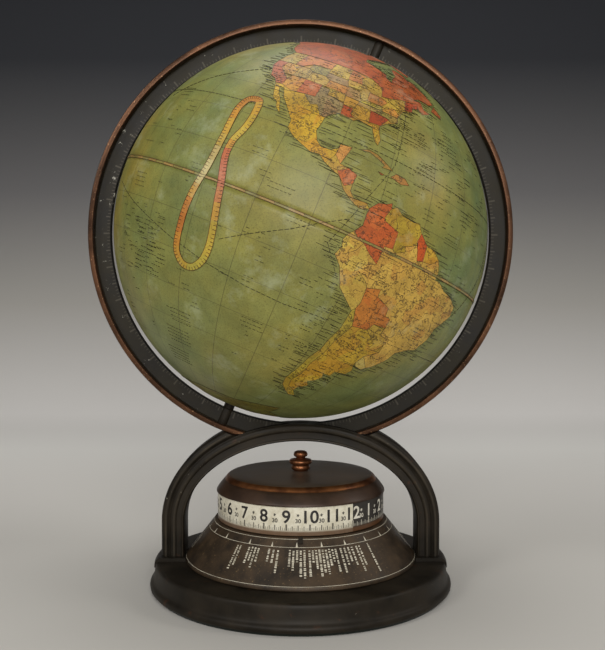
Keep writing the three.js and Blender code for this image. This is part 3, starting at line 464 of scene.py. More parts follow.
# Black brown lacquer of the cone
conePlate = metal("Black brown lacquer of the cone", "#2a2116", "#4a3925", "#77603f", 0.3, 0.48, 0.62, 16, 1.5)
keep("cone_plate", turned(cone["profile"], 144, True), [conePlate], "frame", "patinated_bronze",
     "meridian_cone")
keep("cone_marks", coneMarks(), [creamInk], "frame", "patinated_bronze")
print("cone ready")


# Dial: numbered band, stepped lid and turned knob. Marks to the hour go with their top and thickness.
dial = {
    "radius": 69.1, "tenAt": 5.9, "inkLift": 0.08, "numeralTall": 9.8, "numeralFoot": 66.9, "halfTall": 3.2,
    "starTall": 3.6, "starFoot": 70.2, "marksFoot": 61, "twelveHalf": 3.2,
    "fontSize": 1.37, "fontWide": 1.04, "fontWeight": 0.000028,
    "marks": ((1, 65.7, 0.07), (2, 65, 0.09), (4, 64.2, 0.14), (12, 63.2, 0.24)),
    "band": [(68.2, 57), (69, 57), (69.1, 57.3), (69.1, 78.5), (69, 78.8), (68.2, 78.8)],
}


# Half the band is cream and half is black, with the marks in the other colour
def bandEnamel(add, place):
    across, depth, up = add("SeparateXYZ", [place]).outputs
    turn = add("Math ARCTAN2", [across, add("Math MULTIPLY", [depth, -1])])
    hours = add("Math ADD", [add("Math MULTIPLY", [turn, 12 / math.pi]), 10 - dial["tenAt"] / 15])
    dark = add("Math GREATER_THAN", [add("Math MODULO", [add("Math ADD", [hours, 24]), 24]), 12])
    marks = 0
    for part, top, thin in dial["marks"]:
        step = add("Math FRACT", [add("Math ADD", [add("Math MULTIPLY", [hours, part]), 240 + thin / 2])])
        low = add("Math LESS_THAN", [up, top * mm])
        marks = add("Math MAXIMUM", [marks, add("Math MULTIPLY", [add("Math LESS_THAN", [step, thin]), low])])
    marks = add("Math MULTIPLY", [marks, add("Math GREATER_THAN", [up, dial["marksFoot"] * mm])])
    grime = add("TexNoise", [place, 1 / (7 * mm), 6, 0.65])
    cream = add("ValToRGB", [grime], [(0.25, "#b8ae93"), (0.6, "#ddd6c0")])
    black = add("ValToRGB", [grime], [(0.3, "#1f1b17"), (0.7, "#38322b")])
    ground = add("Mix", [dark, cream, black])
    ink = add("Mix", [dark, "#26211c", "#c9c1ac"])
    color = add("Mix", [add("Math MULTIPLY", [marks, 0.85]), ground, ink])
    # Brown dirt along the band's lower edge
    dirt = add("MapRange", [up, 61.4 * mm, 59.6 * mm, 0, 0.9])
    return {"Base Color": add("Mix", [dirt, color, "#5c3a1c"]), "Roughness": 0.42,
            "Normal": add("Bump", [grime, 0.1 * mm, 0.3])}


enamel = newMaterial("Cream and black enamel of the band", bandEnamel)
keep("hour_band_enamel", turned(dial["band"], 144, True), [enamel], "dial", "dial_enamel", "hour_band")
# Printed numbers and marks, rubbed thin in places
blackInk = metal("Black ink", "#1a1714", "#2a2520", "#5c554a", 0, 0.55, 0.74, 6, 0.7)
whiteInk = metal("White ink", "#cfc8b6", "#e2dccb", "#8b8474", 0, 0.55, 0.72, 6, 0.7)


# Numbers bent round the band
def bentText(bm, words, turn, tall=dial["numeralTall"], foot=dial["numeralFoot"]):
    radius = (dial["radius"] + dial["inkLift"]) * mm
    curve = bpy.data.curves.new("number", "FONT")
    curve.body, curve.align_x = words, "CENTER"
    curve.size, curve.offset = tall * dial["fontSize"] * mm, tall * dial["fontWeight"]
    text = placed("number", curve)
    data = shapeOf(text)
    start = len(bm.verts)
    bm.from_mesh(data)
    bm.verts.ensure_lookup_table()
    for v in bm.verts[start:]:
        a = math.radians(turn) + v.co.x * dial["fontWide"] / radius
        v.co = (radius * math.sin(a), -radius * math.cos(a), foot * mm + v.co.y)
    bpy.data.objects.remove(text)
    bpy.data.meshes.remove(data)


blackNumbers, whiteNumbers = bmesh.new(), bmesh.new()
for hour in range(24):
    turn = dial["tenAt"] + (hour - 10) * 15
    target = blackNumbers if hour < 12 else whiteNumbers
    if hour % 12:
        bentText(target, str(hour % 12), turn)
    else:
        # The two twelves stand half on cream and half on black
        early, late = (whiteNumbers, blackNumbers) if hour == 0 else (blackNumbers, whiteNumbers)
        bentText(early, "1", turn - dial["twelveHalf"])
        bentText(late, "2", turn + dial["twelveHalf"])
    bentText(target, "30", turn + 7.5, dial["halfTall"])
    bentText(target, "*", turn + 7.5, dial["starTall"], dial["starFoot"])
keep("hour_numbers_black", blackNumbers, [blackInk], "dial", "dial_enamel")
keep("hour_numbers_white", whiteNumbers, [whiteInk], "dial", "dial_enamel")

lidCurve = [(3.2, 94), (20, 93.9), (38, 93.6), (50, 93.2), (56, 92.9), (58, 92.6), (59.5, 92.1),
    (60.7, 91.4), (61.7, 90.5), (62.6, 89.4), (63.1, 88.5), (63.5, 88.3), (65.2, 86.4), (66.8, 84.5),
    (68.2, 82.7), (69.2, 81.2), (69.8, 80.2), (70, 79.6), (70, 79)]
lidUnder = [(68.8, 79), (68.8, 79.4), (67.4, 81.5), (63.9, 85.7), (61.5, 88.6), (58.3, 91), (38, 92.2),
    (3.2, 92.8)]
# The rubbed edge of the lid, brighter as a painted highlight, lies between two heights, outside a radius; the
# skirt below it takes the painted shade
edgeLow, edgeHigh, edgeFrom = 88.4, 92.2, 59
bm = turned(lidCurve + lidUnder, 144, True)
for face in bm.faces:
    middle = face.calc_center_median()
    high, out = middle.z / mm, math.hypot(middle.x, middle.y) / mm
    face.material_index = 1 if edgeLow < high < edgeHigh and out > edgeFrom else 2 if high < edgeLow else 0
keep("lid_stepped", bm, [lidCopper, rolledCopperHighlight, lidShadedBrown], "dial", "worn_copper", "dial_lid", sharp=40)
knobCurve = [(0, 83), (3, 83), (3, 94.1), (6, 94.1), (6.5, 94.9), (7.3, 95.4), (7.8, 96.4), (7.8, 97.4),
    (7.2, 98.7), (6.4, 99.4), (8.3, 99.7), (9.2, 100.4), (9.6, 101.4), (9.5, 102.5), (8.8, 103.4),
    (6.4, 104), (4.2, 104.5), (3.6, 105), (4.4, 105.6), (5.4, 106.2), (5.9, 107.3), (5.8, 108.5),
    (5.1, 109.7), (3.6, 110.5), (1.6, 110.7), (0, 110.7)]
keep("knob_turned", turned(knobCurve, 48), [brightCopper], "dial", "worn_copper", "dial_knob", sharp=50)
print("dial ready")


# Globe: two printed half shells, land, lines, equator band and the sun's figure of eight
globe = {"radius": 152.4, "spin": -2.8, "poleHole": 6.1, "card": 3, "southShare": 0.92}


# Longitude and latitude of the print to a point on the ball. The print runs a little short in the south.
def onGlobe(lon, lat, lift=0):
    if lat < 0:
        lat *= globe["southShare"]
    a, b = math.radians(lon - globe["spin"]), math.radians(lat)
    spot = Vector((math.cos(b) * math.cos(a), math.cos(b) * math.sin(a), math.sin(b)))
    return centre + leaned @ spot * (globe["radius"] + lift) * mm


# The photo's camera while points of the print were picked on it: its place in millimetres, its angles, its
# focal length and the photo's middle and height in pixels
photo = {"eye": (0, -720, 231), "pitch": 0.0209, "yaw": 0.0034, "focal": 861.5, "middle": (302.5, 325),
         "high": 650}


# Longitude and latitude of the print under a point of the photo, to a tenth of a degree
def picked(x, y):
    pitch, yaw, focal = photo["pitch"], photo["yaw"], photo["focal"]
    ahead = Vector((math.sin(yaw) * math.cos(pitch), math.cos(yaw) * math.cos(pitch), -math.sin(pitch)))
    right = Vector((math.cos(yaw), -math.sin(yaw), 0))
    across, down = (x - photo["middle"][0]) / focal, (y - photo["middle"][1]) / focal
    way = (ahead + across * right - down * right.cross(ahead)).normalized()
    start = Vector(photo["eye"]) - centre / mm
    toward = -start.dot(way)
    spot = start + way * (toward - math.sqrt(toward ** 2 - start.dot(start) + globe["radius"] ** 2))
    spot = leaned.inverted() @ spot
    lon = (math.degrees(math.atan2(spot.y, spot.x)) + globe["spin"] + 180) % 360 - 180
    lat = math.degrees(math.asin(spot.z / globe["radius"]))
    return round(lon, 1), round(lat / globe["southShare"] if lat < 0 else lat, 1)


# Old varnish over the print: spots, yellowing, and a worn pale bloom that is also painted sheen
def printed(name, colorOf):
    def paint(add, place):
        mottle = add("TexNoise", [place, 1 / (20 * mm), 6, 0.62])
        mottled = add("ValToRGB", [mottle], [(0.3, "#a8a890"), (0.7, "#ffffff")])
        specks = add("ValToRGB", [add("TexNoise", [place, 1 / (1.1 * mm), 6, 0.75])],
                     [(0.34, "#7c7a58"), (0.5, "#ffffff")])
        # Pale patches: the varnish's worn bloom, and painted sheen in place of streaky highlights
        worn = add("ValToRGB", [add("TexNoise", [place, 1 / (26 * mm), 9, 0.7])],
                   [(0.55, "#000000"), (0.72, "#ffffff")])
        color = colorOf(add, place)
        for share, over in ((0.6, mottled), (0.5, specks), (1, "#fff3cc")):
            color = add("Mix MULTIPLY", [share, color, over])
        color = add("Mix", [add("Math MULTIPLY", [worn, 0.3]), color, "#bcc4a4"])
        return {"Base Color": color, "Roughness": 0.55, "Coat Weight": 0.22, "Coat Roughness": 0.3,
                "Specular IOR Level": 0.35,
                "Normal": add("Bump", [mottle, 0.25 * mm, 0.25])}
    return newMaterial(name, paint)


# Green with olive yellow patches, greyer towards the south pole and with painted light: lighter and yellower
# on the side that faces the front, with meridians at every 15 degrees and parallels at every 10
def oceanColor(add, place):
    broad = add("TexNoise", [place, 1 / (90 * mm), 4, 0.6])
    color = add("ValToRGB", [broad], [(0.34, "#6e855e"), (0.52, "#858d52"), (0.72, "#9e934a")])
    moved = add("VectorMath SUBTRACT", [place, tuple(centre)])
    straight = add("VectorRotate", {"Vector": moved, "Angle": -tilt}, rotation_type="Y_AXIS")
    across, depth, up = add("SeparateXYZ", [straight]).outputs
    share, frontLit = [add("Math DIVIDE", [side, globe["radius"] * mm]) for side in (up, depth)]
    # The second mix is painted light: the front of the ball is made lighter and yellower
    for at, start, end, most, over in ((share, -0.3, -0.85, 0.6, "#84926a"),
                                       (frontLit, -0.6, -1, 0.24, "#b39a3a")):
        color = add("Mix", [add("MapRange", [at, start, end, 0, most]), color, over])
    lon = add("Math MULTIPLY", [add("Math ARCTAN2", [depth, across]), 180 / math.pi / 15])
    lon = add("Math FRACT", [add("Math ADD", [lon, (globe["spin"] + 0.15) / 15 + 24])])
    lat = add("Math MULTIPLY", [add("Math ARCSINE", [share]), 18 / math.pi])
    lat = add("Math FRACT", [add("Math ADD", [lat, 9])])
    flat = add("Math MAXIMUM", [add("Math SUBTRACT", [1, add("Math POWER", [share, 2])]), 0.01])
    meridian = add("Math LESS_THAN", [lon, add("Math DIVIDE", [0.014, add("Math SQRT", [flat])])])
    grid = add("Math MAXIMUM", [meridian, add("Math LESS_THAN", [lat, 0.016])])
    return add("Mix", [add("Math MULTIPLY", [grid, 0.55]), color, "#463f26"])


# The piece's own colours
def plainTint(add, place):
    return add("Attribute", attribute_name="tint")


# The piece's own colours with county like cells and wandering river lines
def landColor(add, place):
    cells = add("TexVoronoi", {"Vector": place, "Scale": 1 / (9 * mm)}).outputs["Color"]
    varied = add("ValToRGB", [add("SeparateColor", [cells])],
                 [(0.2, "#d8a04c"), (0.5, "#c8b860"), (0.8, "#f0e4b0")])
    color = add("Mix MULTIPLY", [0.5, plainTint(add, place), varied])
    lines = 0
    for wide, detail, at, thin in ((13, 4, 0.5, 0.012), (6, 3, 0.56, 0.008)):
        off = add("Math SUBTRACT", [add("TexNoise", [place, 1 / (wide * mm), detail, 0.6]), at])
        line = add("Math LESS_THAN", [add("Math ABSOLUTE", [off]), thin])
        lines = add("Math MAXIMUM", [lines, line])
    return add("Mix", [add("Math MULTIPLY", [lines, 0.7]), color, "#3c2d18"])


def inkColor(dark, light):
    return lambda add, place: add("ValToRGB", [add("TexNoise", [place, 1 / (4 * mm), 3, 0.55])],
                                  [(0.3, dark), (0.7, light)])


ocean = printed("Printed green sea under old varnish", oceanColor)
land = printed("Printed land colours under old varnish", landColor)
ribbon = printed("Printed colour bands under old varnish", plainTint)
mapInk = printed("Dark printing ink", inkColor("#29261a", "#454028"))
brownInk = printed("Red brown printing ink", inkColor("#43301a", "#6a4526"))

for pole, side in (("north", 1), ("south", -1)):
    bm = bmesh.new()
    bmesh.ops.create_uvsphere(bm, u_segments=160, v_segments=96, radius=globe["radius"] * mm)
    hole = math.sqrt(globe["radius"] ** 2 - globe["poleHole"] ** 2) * mm
    for height, way in ((0, -1), (hole, 1)):
        everything = bm.verts[:] + bm.edges[:] + bm.faces[:]
        bmesh.ops.bisect_plane(bm, geom=everything, plane_co=(0, 0, side * height),
                               plane_no=(0, 0, side * way), clear_outer=True)
    bmesh.ops.transform(bm, verts=bm.verts, matrix=Matrix.Translation(centre) @ leaned)
    half = keep(f"globe_{pole}_half", bm, [ocean], "globe", "varnished_map", f"globe_{pole}_shell")
    solidify = half.modifiers.new("card", "SOLIDIFY")
    solidify.thickness, solidify.offset = globe["card"] * mm, -1

# Coasts and borders in longitude and latitude
northAmerica = [(-168, 66), (-156, 71), (-141, 69.6), (-128, 70), (-115, 68.5), (-108, 68), (-96, 68),
    (-94, 72), (-86, 69), (-82, 69), (-81, 67), (-87, 65), (-94, 61), (-94, 58.5), (-88, 56.5), (-82.5, 55),
    (-82, 52.5), (-79.5, 51.5), (-79, 54.5), (-77, 57), (-78.5, 60), (-77.5, 62.5), (-73, 62), (-69.5, 60.5),
    (-69, 58.8), (-65, 60), (-62, 57), (-57, 54), (-56, 52), (-60, 50.2), (-66, 50), (-69, 48), (-65, 49),
    (-64.5, 47), (-64, 46), (-61, 45.7), (-65.5, 43.5), (-67, 44.8), (-70, 43.7), (-70.5, 41.8), (-72, 41),
    (-74, 40.5), (-75.5, 38), (-76, 36.8), (-75.7, 35.2), (-77.5, 34), (-79.5, 33), (-81.3, 31.2),
    (-81.2, 29.5), (-80.1, 27), (-80.5, 25.2), (-81.7, 26), (-82.8, 28), (-83.5, 29.8), (-85.3, 29.7),
    (-88, 30.3), (-89.5, 29.2), (-91, 29.4), (-94, 29.6), (-96, 28.4), (-97.3, 26.8), (-97.5, 24),
    (-97.8, 22), (-96.5, 19.5), (-94.7, 18.2), (-92, 18.6), (-90.6, 19.7), (-90.3, 21), (-87, 21.5),
    (-87.8, 18.5), (-88.5, 16), (-86, 15.8), (-83.3, 15), (-83.6, 12.5), (-83.5, 10.5), (-82, 9), (-80, 9.2),
    (-78.5, 9.4), (-77.3, 8.4), (-78.2, 7.6), (-80, 7.4), (-81.5, 7.8), (-83.5, 8.8), (-85.5, 10.2),
    (-87.5, 12.8), (-90, 13.7), (-92.5, 14.8), (-94.5, 16.2), (-97, 15.9), (-100, 17), (-103, 18.2),
    (-105.3, 20), (-105.5, 22.3), (-108, 25), (-109.5, 26.6), (-111.5, 28.5), (-113, 31.2), (-114.7, 31.6),
    (-114, 29.8), (-112, 27.5), (-110.5, 24.8), (-109.5, 23.1), (-111.5, 24.5), (-112.3, 26.2),
    (-114.2, 27.2), (-115.6, 29.8), (-117, 32.4), (-118.5, 34), (-120.6, 34.6), (-122, 36.8), (-123.8, 39),
    (-124.2, 42), (-124, 46), (-123, 48.5), (-127.5, 51), (-130.5, 54.5), (-133.5, 57.5), (-138, 59.2),
    (-143, 60), (-148, 60.3), (-152, 59.2), (-156, 57.5), (-161, 55.2), (-158, 58.5), (-162, 59.2),
    (-165.5, 61), (-161, 64.2), (-166, 64.5)]
southAmerica = [(-77.3, 8.4), (-75.5, 10.6), (-73, 11.4), (-71.7, 12.2), (-71.5, 10.8), (-70, 11.8),
    (-68, 10.6), (-65, 10.2), (-62, 10.6), (-60.5, 8.5), (-57.5, 6.3), (-54, 5.8), (-51.5, 4.2), (-50, 1.6),
    (-50, -0.8), (-48, -0.8), (-44.5, -2.5), (-41.5, -2.9), (-38.5, -3.8), (-35.5, -5.2), (-34.8, -8),
    (-37, -11), (-39, -13.5), (-39, -17.5), (-41, -22), (-44.5, -23.2), (-48, -25.5), (-48.7, -28.5),
    (-52, -32.8), (-54.5, -34.8), (-57.5, -34.3), (-58.3, -34), (-57, -36.3), (-58, -38.3), (-62, -39),
    (-62.3, -41), (-65, -41), (-64, -42.8), (-65.5, -45), (-67.5, -46.2), (-65.8, -48), (-68.5, -50.5),
    (-68.5, -52.5), (-66, -54.8), (-68.5, -55.5), (-71.5, -53.8), (-74.5, -51.5), (-75.5, -48), (-74.5, -44),
    (-73.7, -40), (-73.3, -37), (-71.7, -33), (-71.5, -29.5), (-70.3, -25), (-70.3, -18.5), (-73, -16.5),
    (-76.3, -13.8), (-78.8, -8.5), (-81.2, -6), (-80.3, -3.4), (-80.8, -1.5), (-80, 0.5), (-78.8, 1.8),
    (-77.3, 3.8), (-77.5, 6.5)]


# The stretch of a coast from one of its points to another
def stretch(coast, start, end):
    a, b = coast.index(start), coast.index(end)
    return coast[a:b + 1] if a <= b else coast[a:] + coast[:b + 1]


islands = {
    "cuba": ("#b89a58", [(-84.8, 21.9), (-82.5, 23), (-79.5, 22.7), (-77, 21.6), (-74.2, 20.3),
        (-77.5, 19.9), (-77, 20.7), (-79, 21.5), (-82, 22.3)]),
    "hispaniola": ("#b98a50", [(-74.4, 18.5), (-73, 19.9), (-70, 19.8), (-68.4, 18.6), (-71, 17.8)]),
    "jamaica": ("#c6703a", [(-78.3, 18.4), (-76.3, 18.2), (-77.2, 17.8)]),
    "newfoundland": ("#c6703a", [(-59.3, 47.8), (-56, 51.3), (-53, 48.5), (-54, 46.8)]),
    "baffin": ("#c6703a", [(-80, 73.5), (-68, 70), (-62, 66), (-66, 63), (-73, 65), (-78, 69.5), (-88, 71),
        (-88, 73.5)]),
    "victoria": ("#c6703a", [(-117, 71), (-105, 69), (-102, 71.5), (-110, 73), (-118, 73)]),
    "ellesmere": ("#c6703a", [(-90, 77), (-77, 78), (-62, 82), (-80, 83), (-93, 80)]),
    "greenland": ("#d9cf9a", [(-73, 78), (-60, 76), (-54, 70), (-53, 65), (-44, 60), (-40, 65), (-24, 70),
        (-20, 76), (-30, 83), (-55, 82)]),
    "iceland": ("#d9a24a", [(-24, 65.5), (-16, 66.4), (-14, 65), (-19, 63.4), (-22.5, 64)]),
    "britain": ("#c6703a", [(-5.5, 50), (1.5, 51.2), (0, 53), (-2, 55.8), (-3, 58.6), (-5.5, 57), (-3, 54),
        (-5, 51.8)]),
    "ireland": ("#c6703a", [(-10, 52), (-6.3, 52.2), (-6, 54.5), (-8.5, 55)]),
    "africa": ("#cfb36a", [(-17, 21), (-16, 28), (-9.8, 30), (-6, 35.7), (3, 36.8), (11, 37), (10.5, 34),
        (20, 32), (25, 31.7), (32.5, 31), (34, 28), (37, 21), (39.5, 15.5), (43.2, 11.5), (51, 12), (48, 5),
        (41.5, -2), (39, -7), (40.7, -14.5), (35, -20), (35.5, -24), (32.5, -28), (27, -33.5), (20, -34.8),
        (18, -32), (15, -27), (11.8, -17.5), (13.5, -9), (9, -1), (9.5, 4), (5, 5.5), (-4, 5.2), (-8, 4.3),
        (-13.3, 8.5), (-17, 14.7)]),
    "madagascar": ("#c9c26a", [(44, -16.5), (49.5, -12), (50.3, -16), (47, -25), (44, -23)]),
    "eurasia": ("#cfa95c", [(-9, 37), (-9, 43), (-1.5, 43.5), (-1.5, 46.5), (-4.5, 48.4), (2, 51), (8, 53.6),
        (8.5, 57), (10.5, 57.5), (11, 54), (19, 54.5), (22, 57.5), (28, 59.8), (22, 60), (25.5, 65.5),
        (17, 61), (18.5, 59.5), (14, 55.5), (11, 59), (5.5, 58.7), (5, 62), (14, 68), (25, 71), (40, 67),
        (44, 68), (60, 69), (68, 69), (73, 72.5), (80, 72.5), (104, 77.5), (113, 74), (130, 71), (140, 72.5),
        (160, 70), (180, 69), (179, 65), (177, 62.5), (165, 60), (162, 57), (157, 51), (156, 57),
        (163, 61.5), (155, 59.3), (142, 59), (135.5, 54.8), (141, 52), (140, 48), (135, 43.5), (130.5, 42.5),
        (127.5, 39.5), (129.3, 35.5), (126.5, 34.5), (125, 39.5), (121.5, 40.5), (118, 39), (122.5, 37),
        (119.5, 35), (121.8, 31), (118, 24.5), (110.5, 21), (108, 21.5), (106, 19), (109, 13), (105, 9),
        (100.5, 13.3), (99.3, 9.5), (103.3, 1.5), (100.5, 5.5), (98.3, 9), (97.5, 16.5), (94.3, 16),
        (91.5, 22.5), (87, 21.5), (80.2, 15.5), (77.5, 8.1), (73, 18), (72.5, 21.5), (67, 25), (57, 25.8),
        (51.5, 27.8), (48, 30), (51.5, 25), (56.3, 26.2), (59.8, 22.5), (52, 15.8), (45, 12.9), (42.8, 14.8),
        (39, 21), (35, 28), (34.3, 31.3), (36, 36.5), (30.5, 36.6), (27.3, 37), (26.3, 39.5), (29, 41),
        (35, 42), (41.5, 41.5), (37, 45.5), (33.5, 44.5), (31, 46.6), (28.5, 43.5), (28, 41.3), (24, 40.7),
        (23.8, 38), (22, 36.7), (19.5, 40.5), (19, 42.3), (13.8, 45.4), (12.5, 44), (18.4, 40.2), (16, 38),
        (12, 42), (8.5, 44.2), (3.2, 43), (0.5, 40.5), (-2.2, 36.8), (-5.5, 36.1)]),
    "japan": ("#c6703a", [(130, 31.5), (131.5, 34), (136, 36), (140, 40), (141.8, 45.3), (145, 43.5),
        (141.5, 39), (140.5, 35.3), (135.5, 33.7)]),
    "philippines": ("#d9a24a", [(120.5, 18), (122.2, 18), (124, 12.5), (126.3, 7), (123, 8), (121, 13)]),
    "borneo": ("#c9a04a", [(109, 1.5), (113, 3.5), (117, 6.9), (119, 5), (117.5, 0), (114.5, -4),
        (110.3, -3)]),
    "sumatra": ("#c9a04a", [(95.5, 5.5), (104, -2), (106, -5.8), (102, -4), (98, 1.5)]),
    "java": ("#c9a04a", [(105.5, -6.6), (114.3, -7.8), (114.3, -8.7), (106, -7.4)]),
    "newGuinea": ("#c9c26a", [(131, -1), (137.5, -1.6), (144, -4), (150.5, -10.3), (144, -8), (138, -8.3),
        (133, -4)]),
    "australia": ("#c8643a", [(114, -22), (122, -18), (129, -15), (132, -11.5), (136.7, -12.2), (135.5, -15),
        (140.5, -17.5), (142.5, -10.8), (146, -19), (153, -25.5), (152.5, -32), (150, -37.5), (144, -38.5),
        (138, -35.5), (135.5, -34.6), (131, -31.6), (124, -33), (118, -35), (115, -34), (113.7, -26)]),
    "newZealand": ("#c8643a", [(173, -34.8), (178.3, -37.8), (174.8, -41.5), (171.2, -44.3), (168.5, -46.6),
        (166.5, -45.8), (172.5, -41), (174.8, -37.5)]),
    "antarctica": ("#8f9456", [(-180, -79), (-150, -77), (-120, -74), (-90, -73), (-62, -66), (-60, -73),
        (-30, -78), (0, -71), (50, -68), (100, -67), (150, -70), (170, -73), (165, -79), (180, -79),
        (180, -86), (-180, -86)]),
}
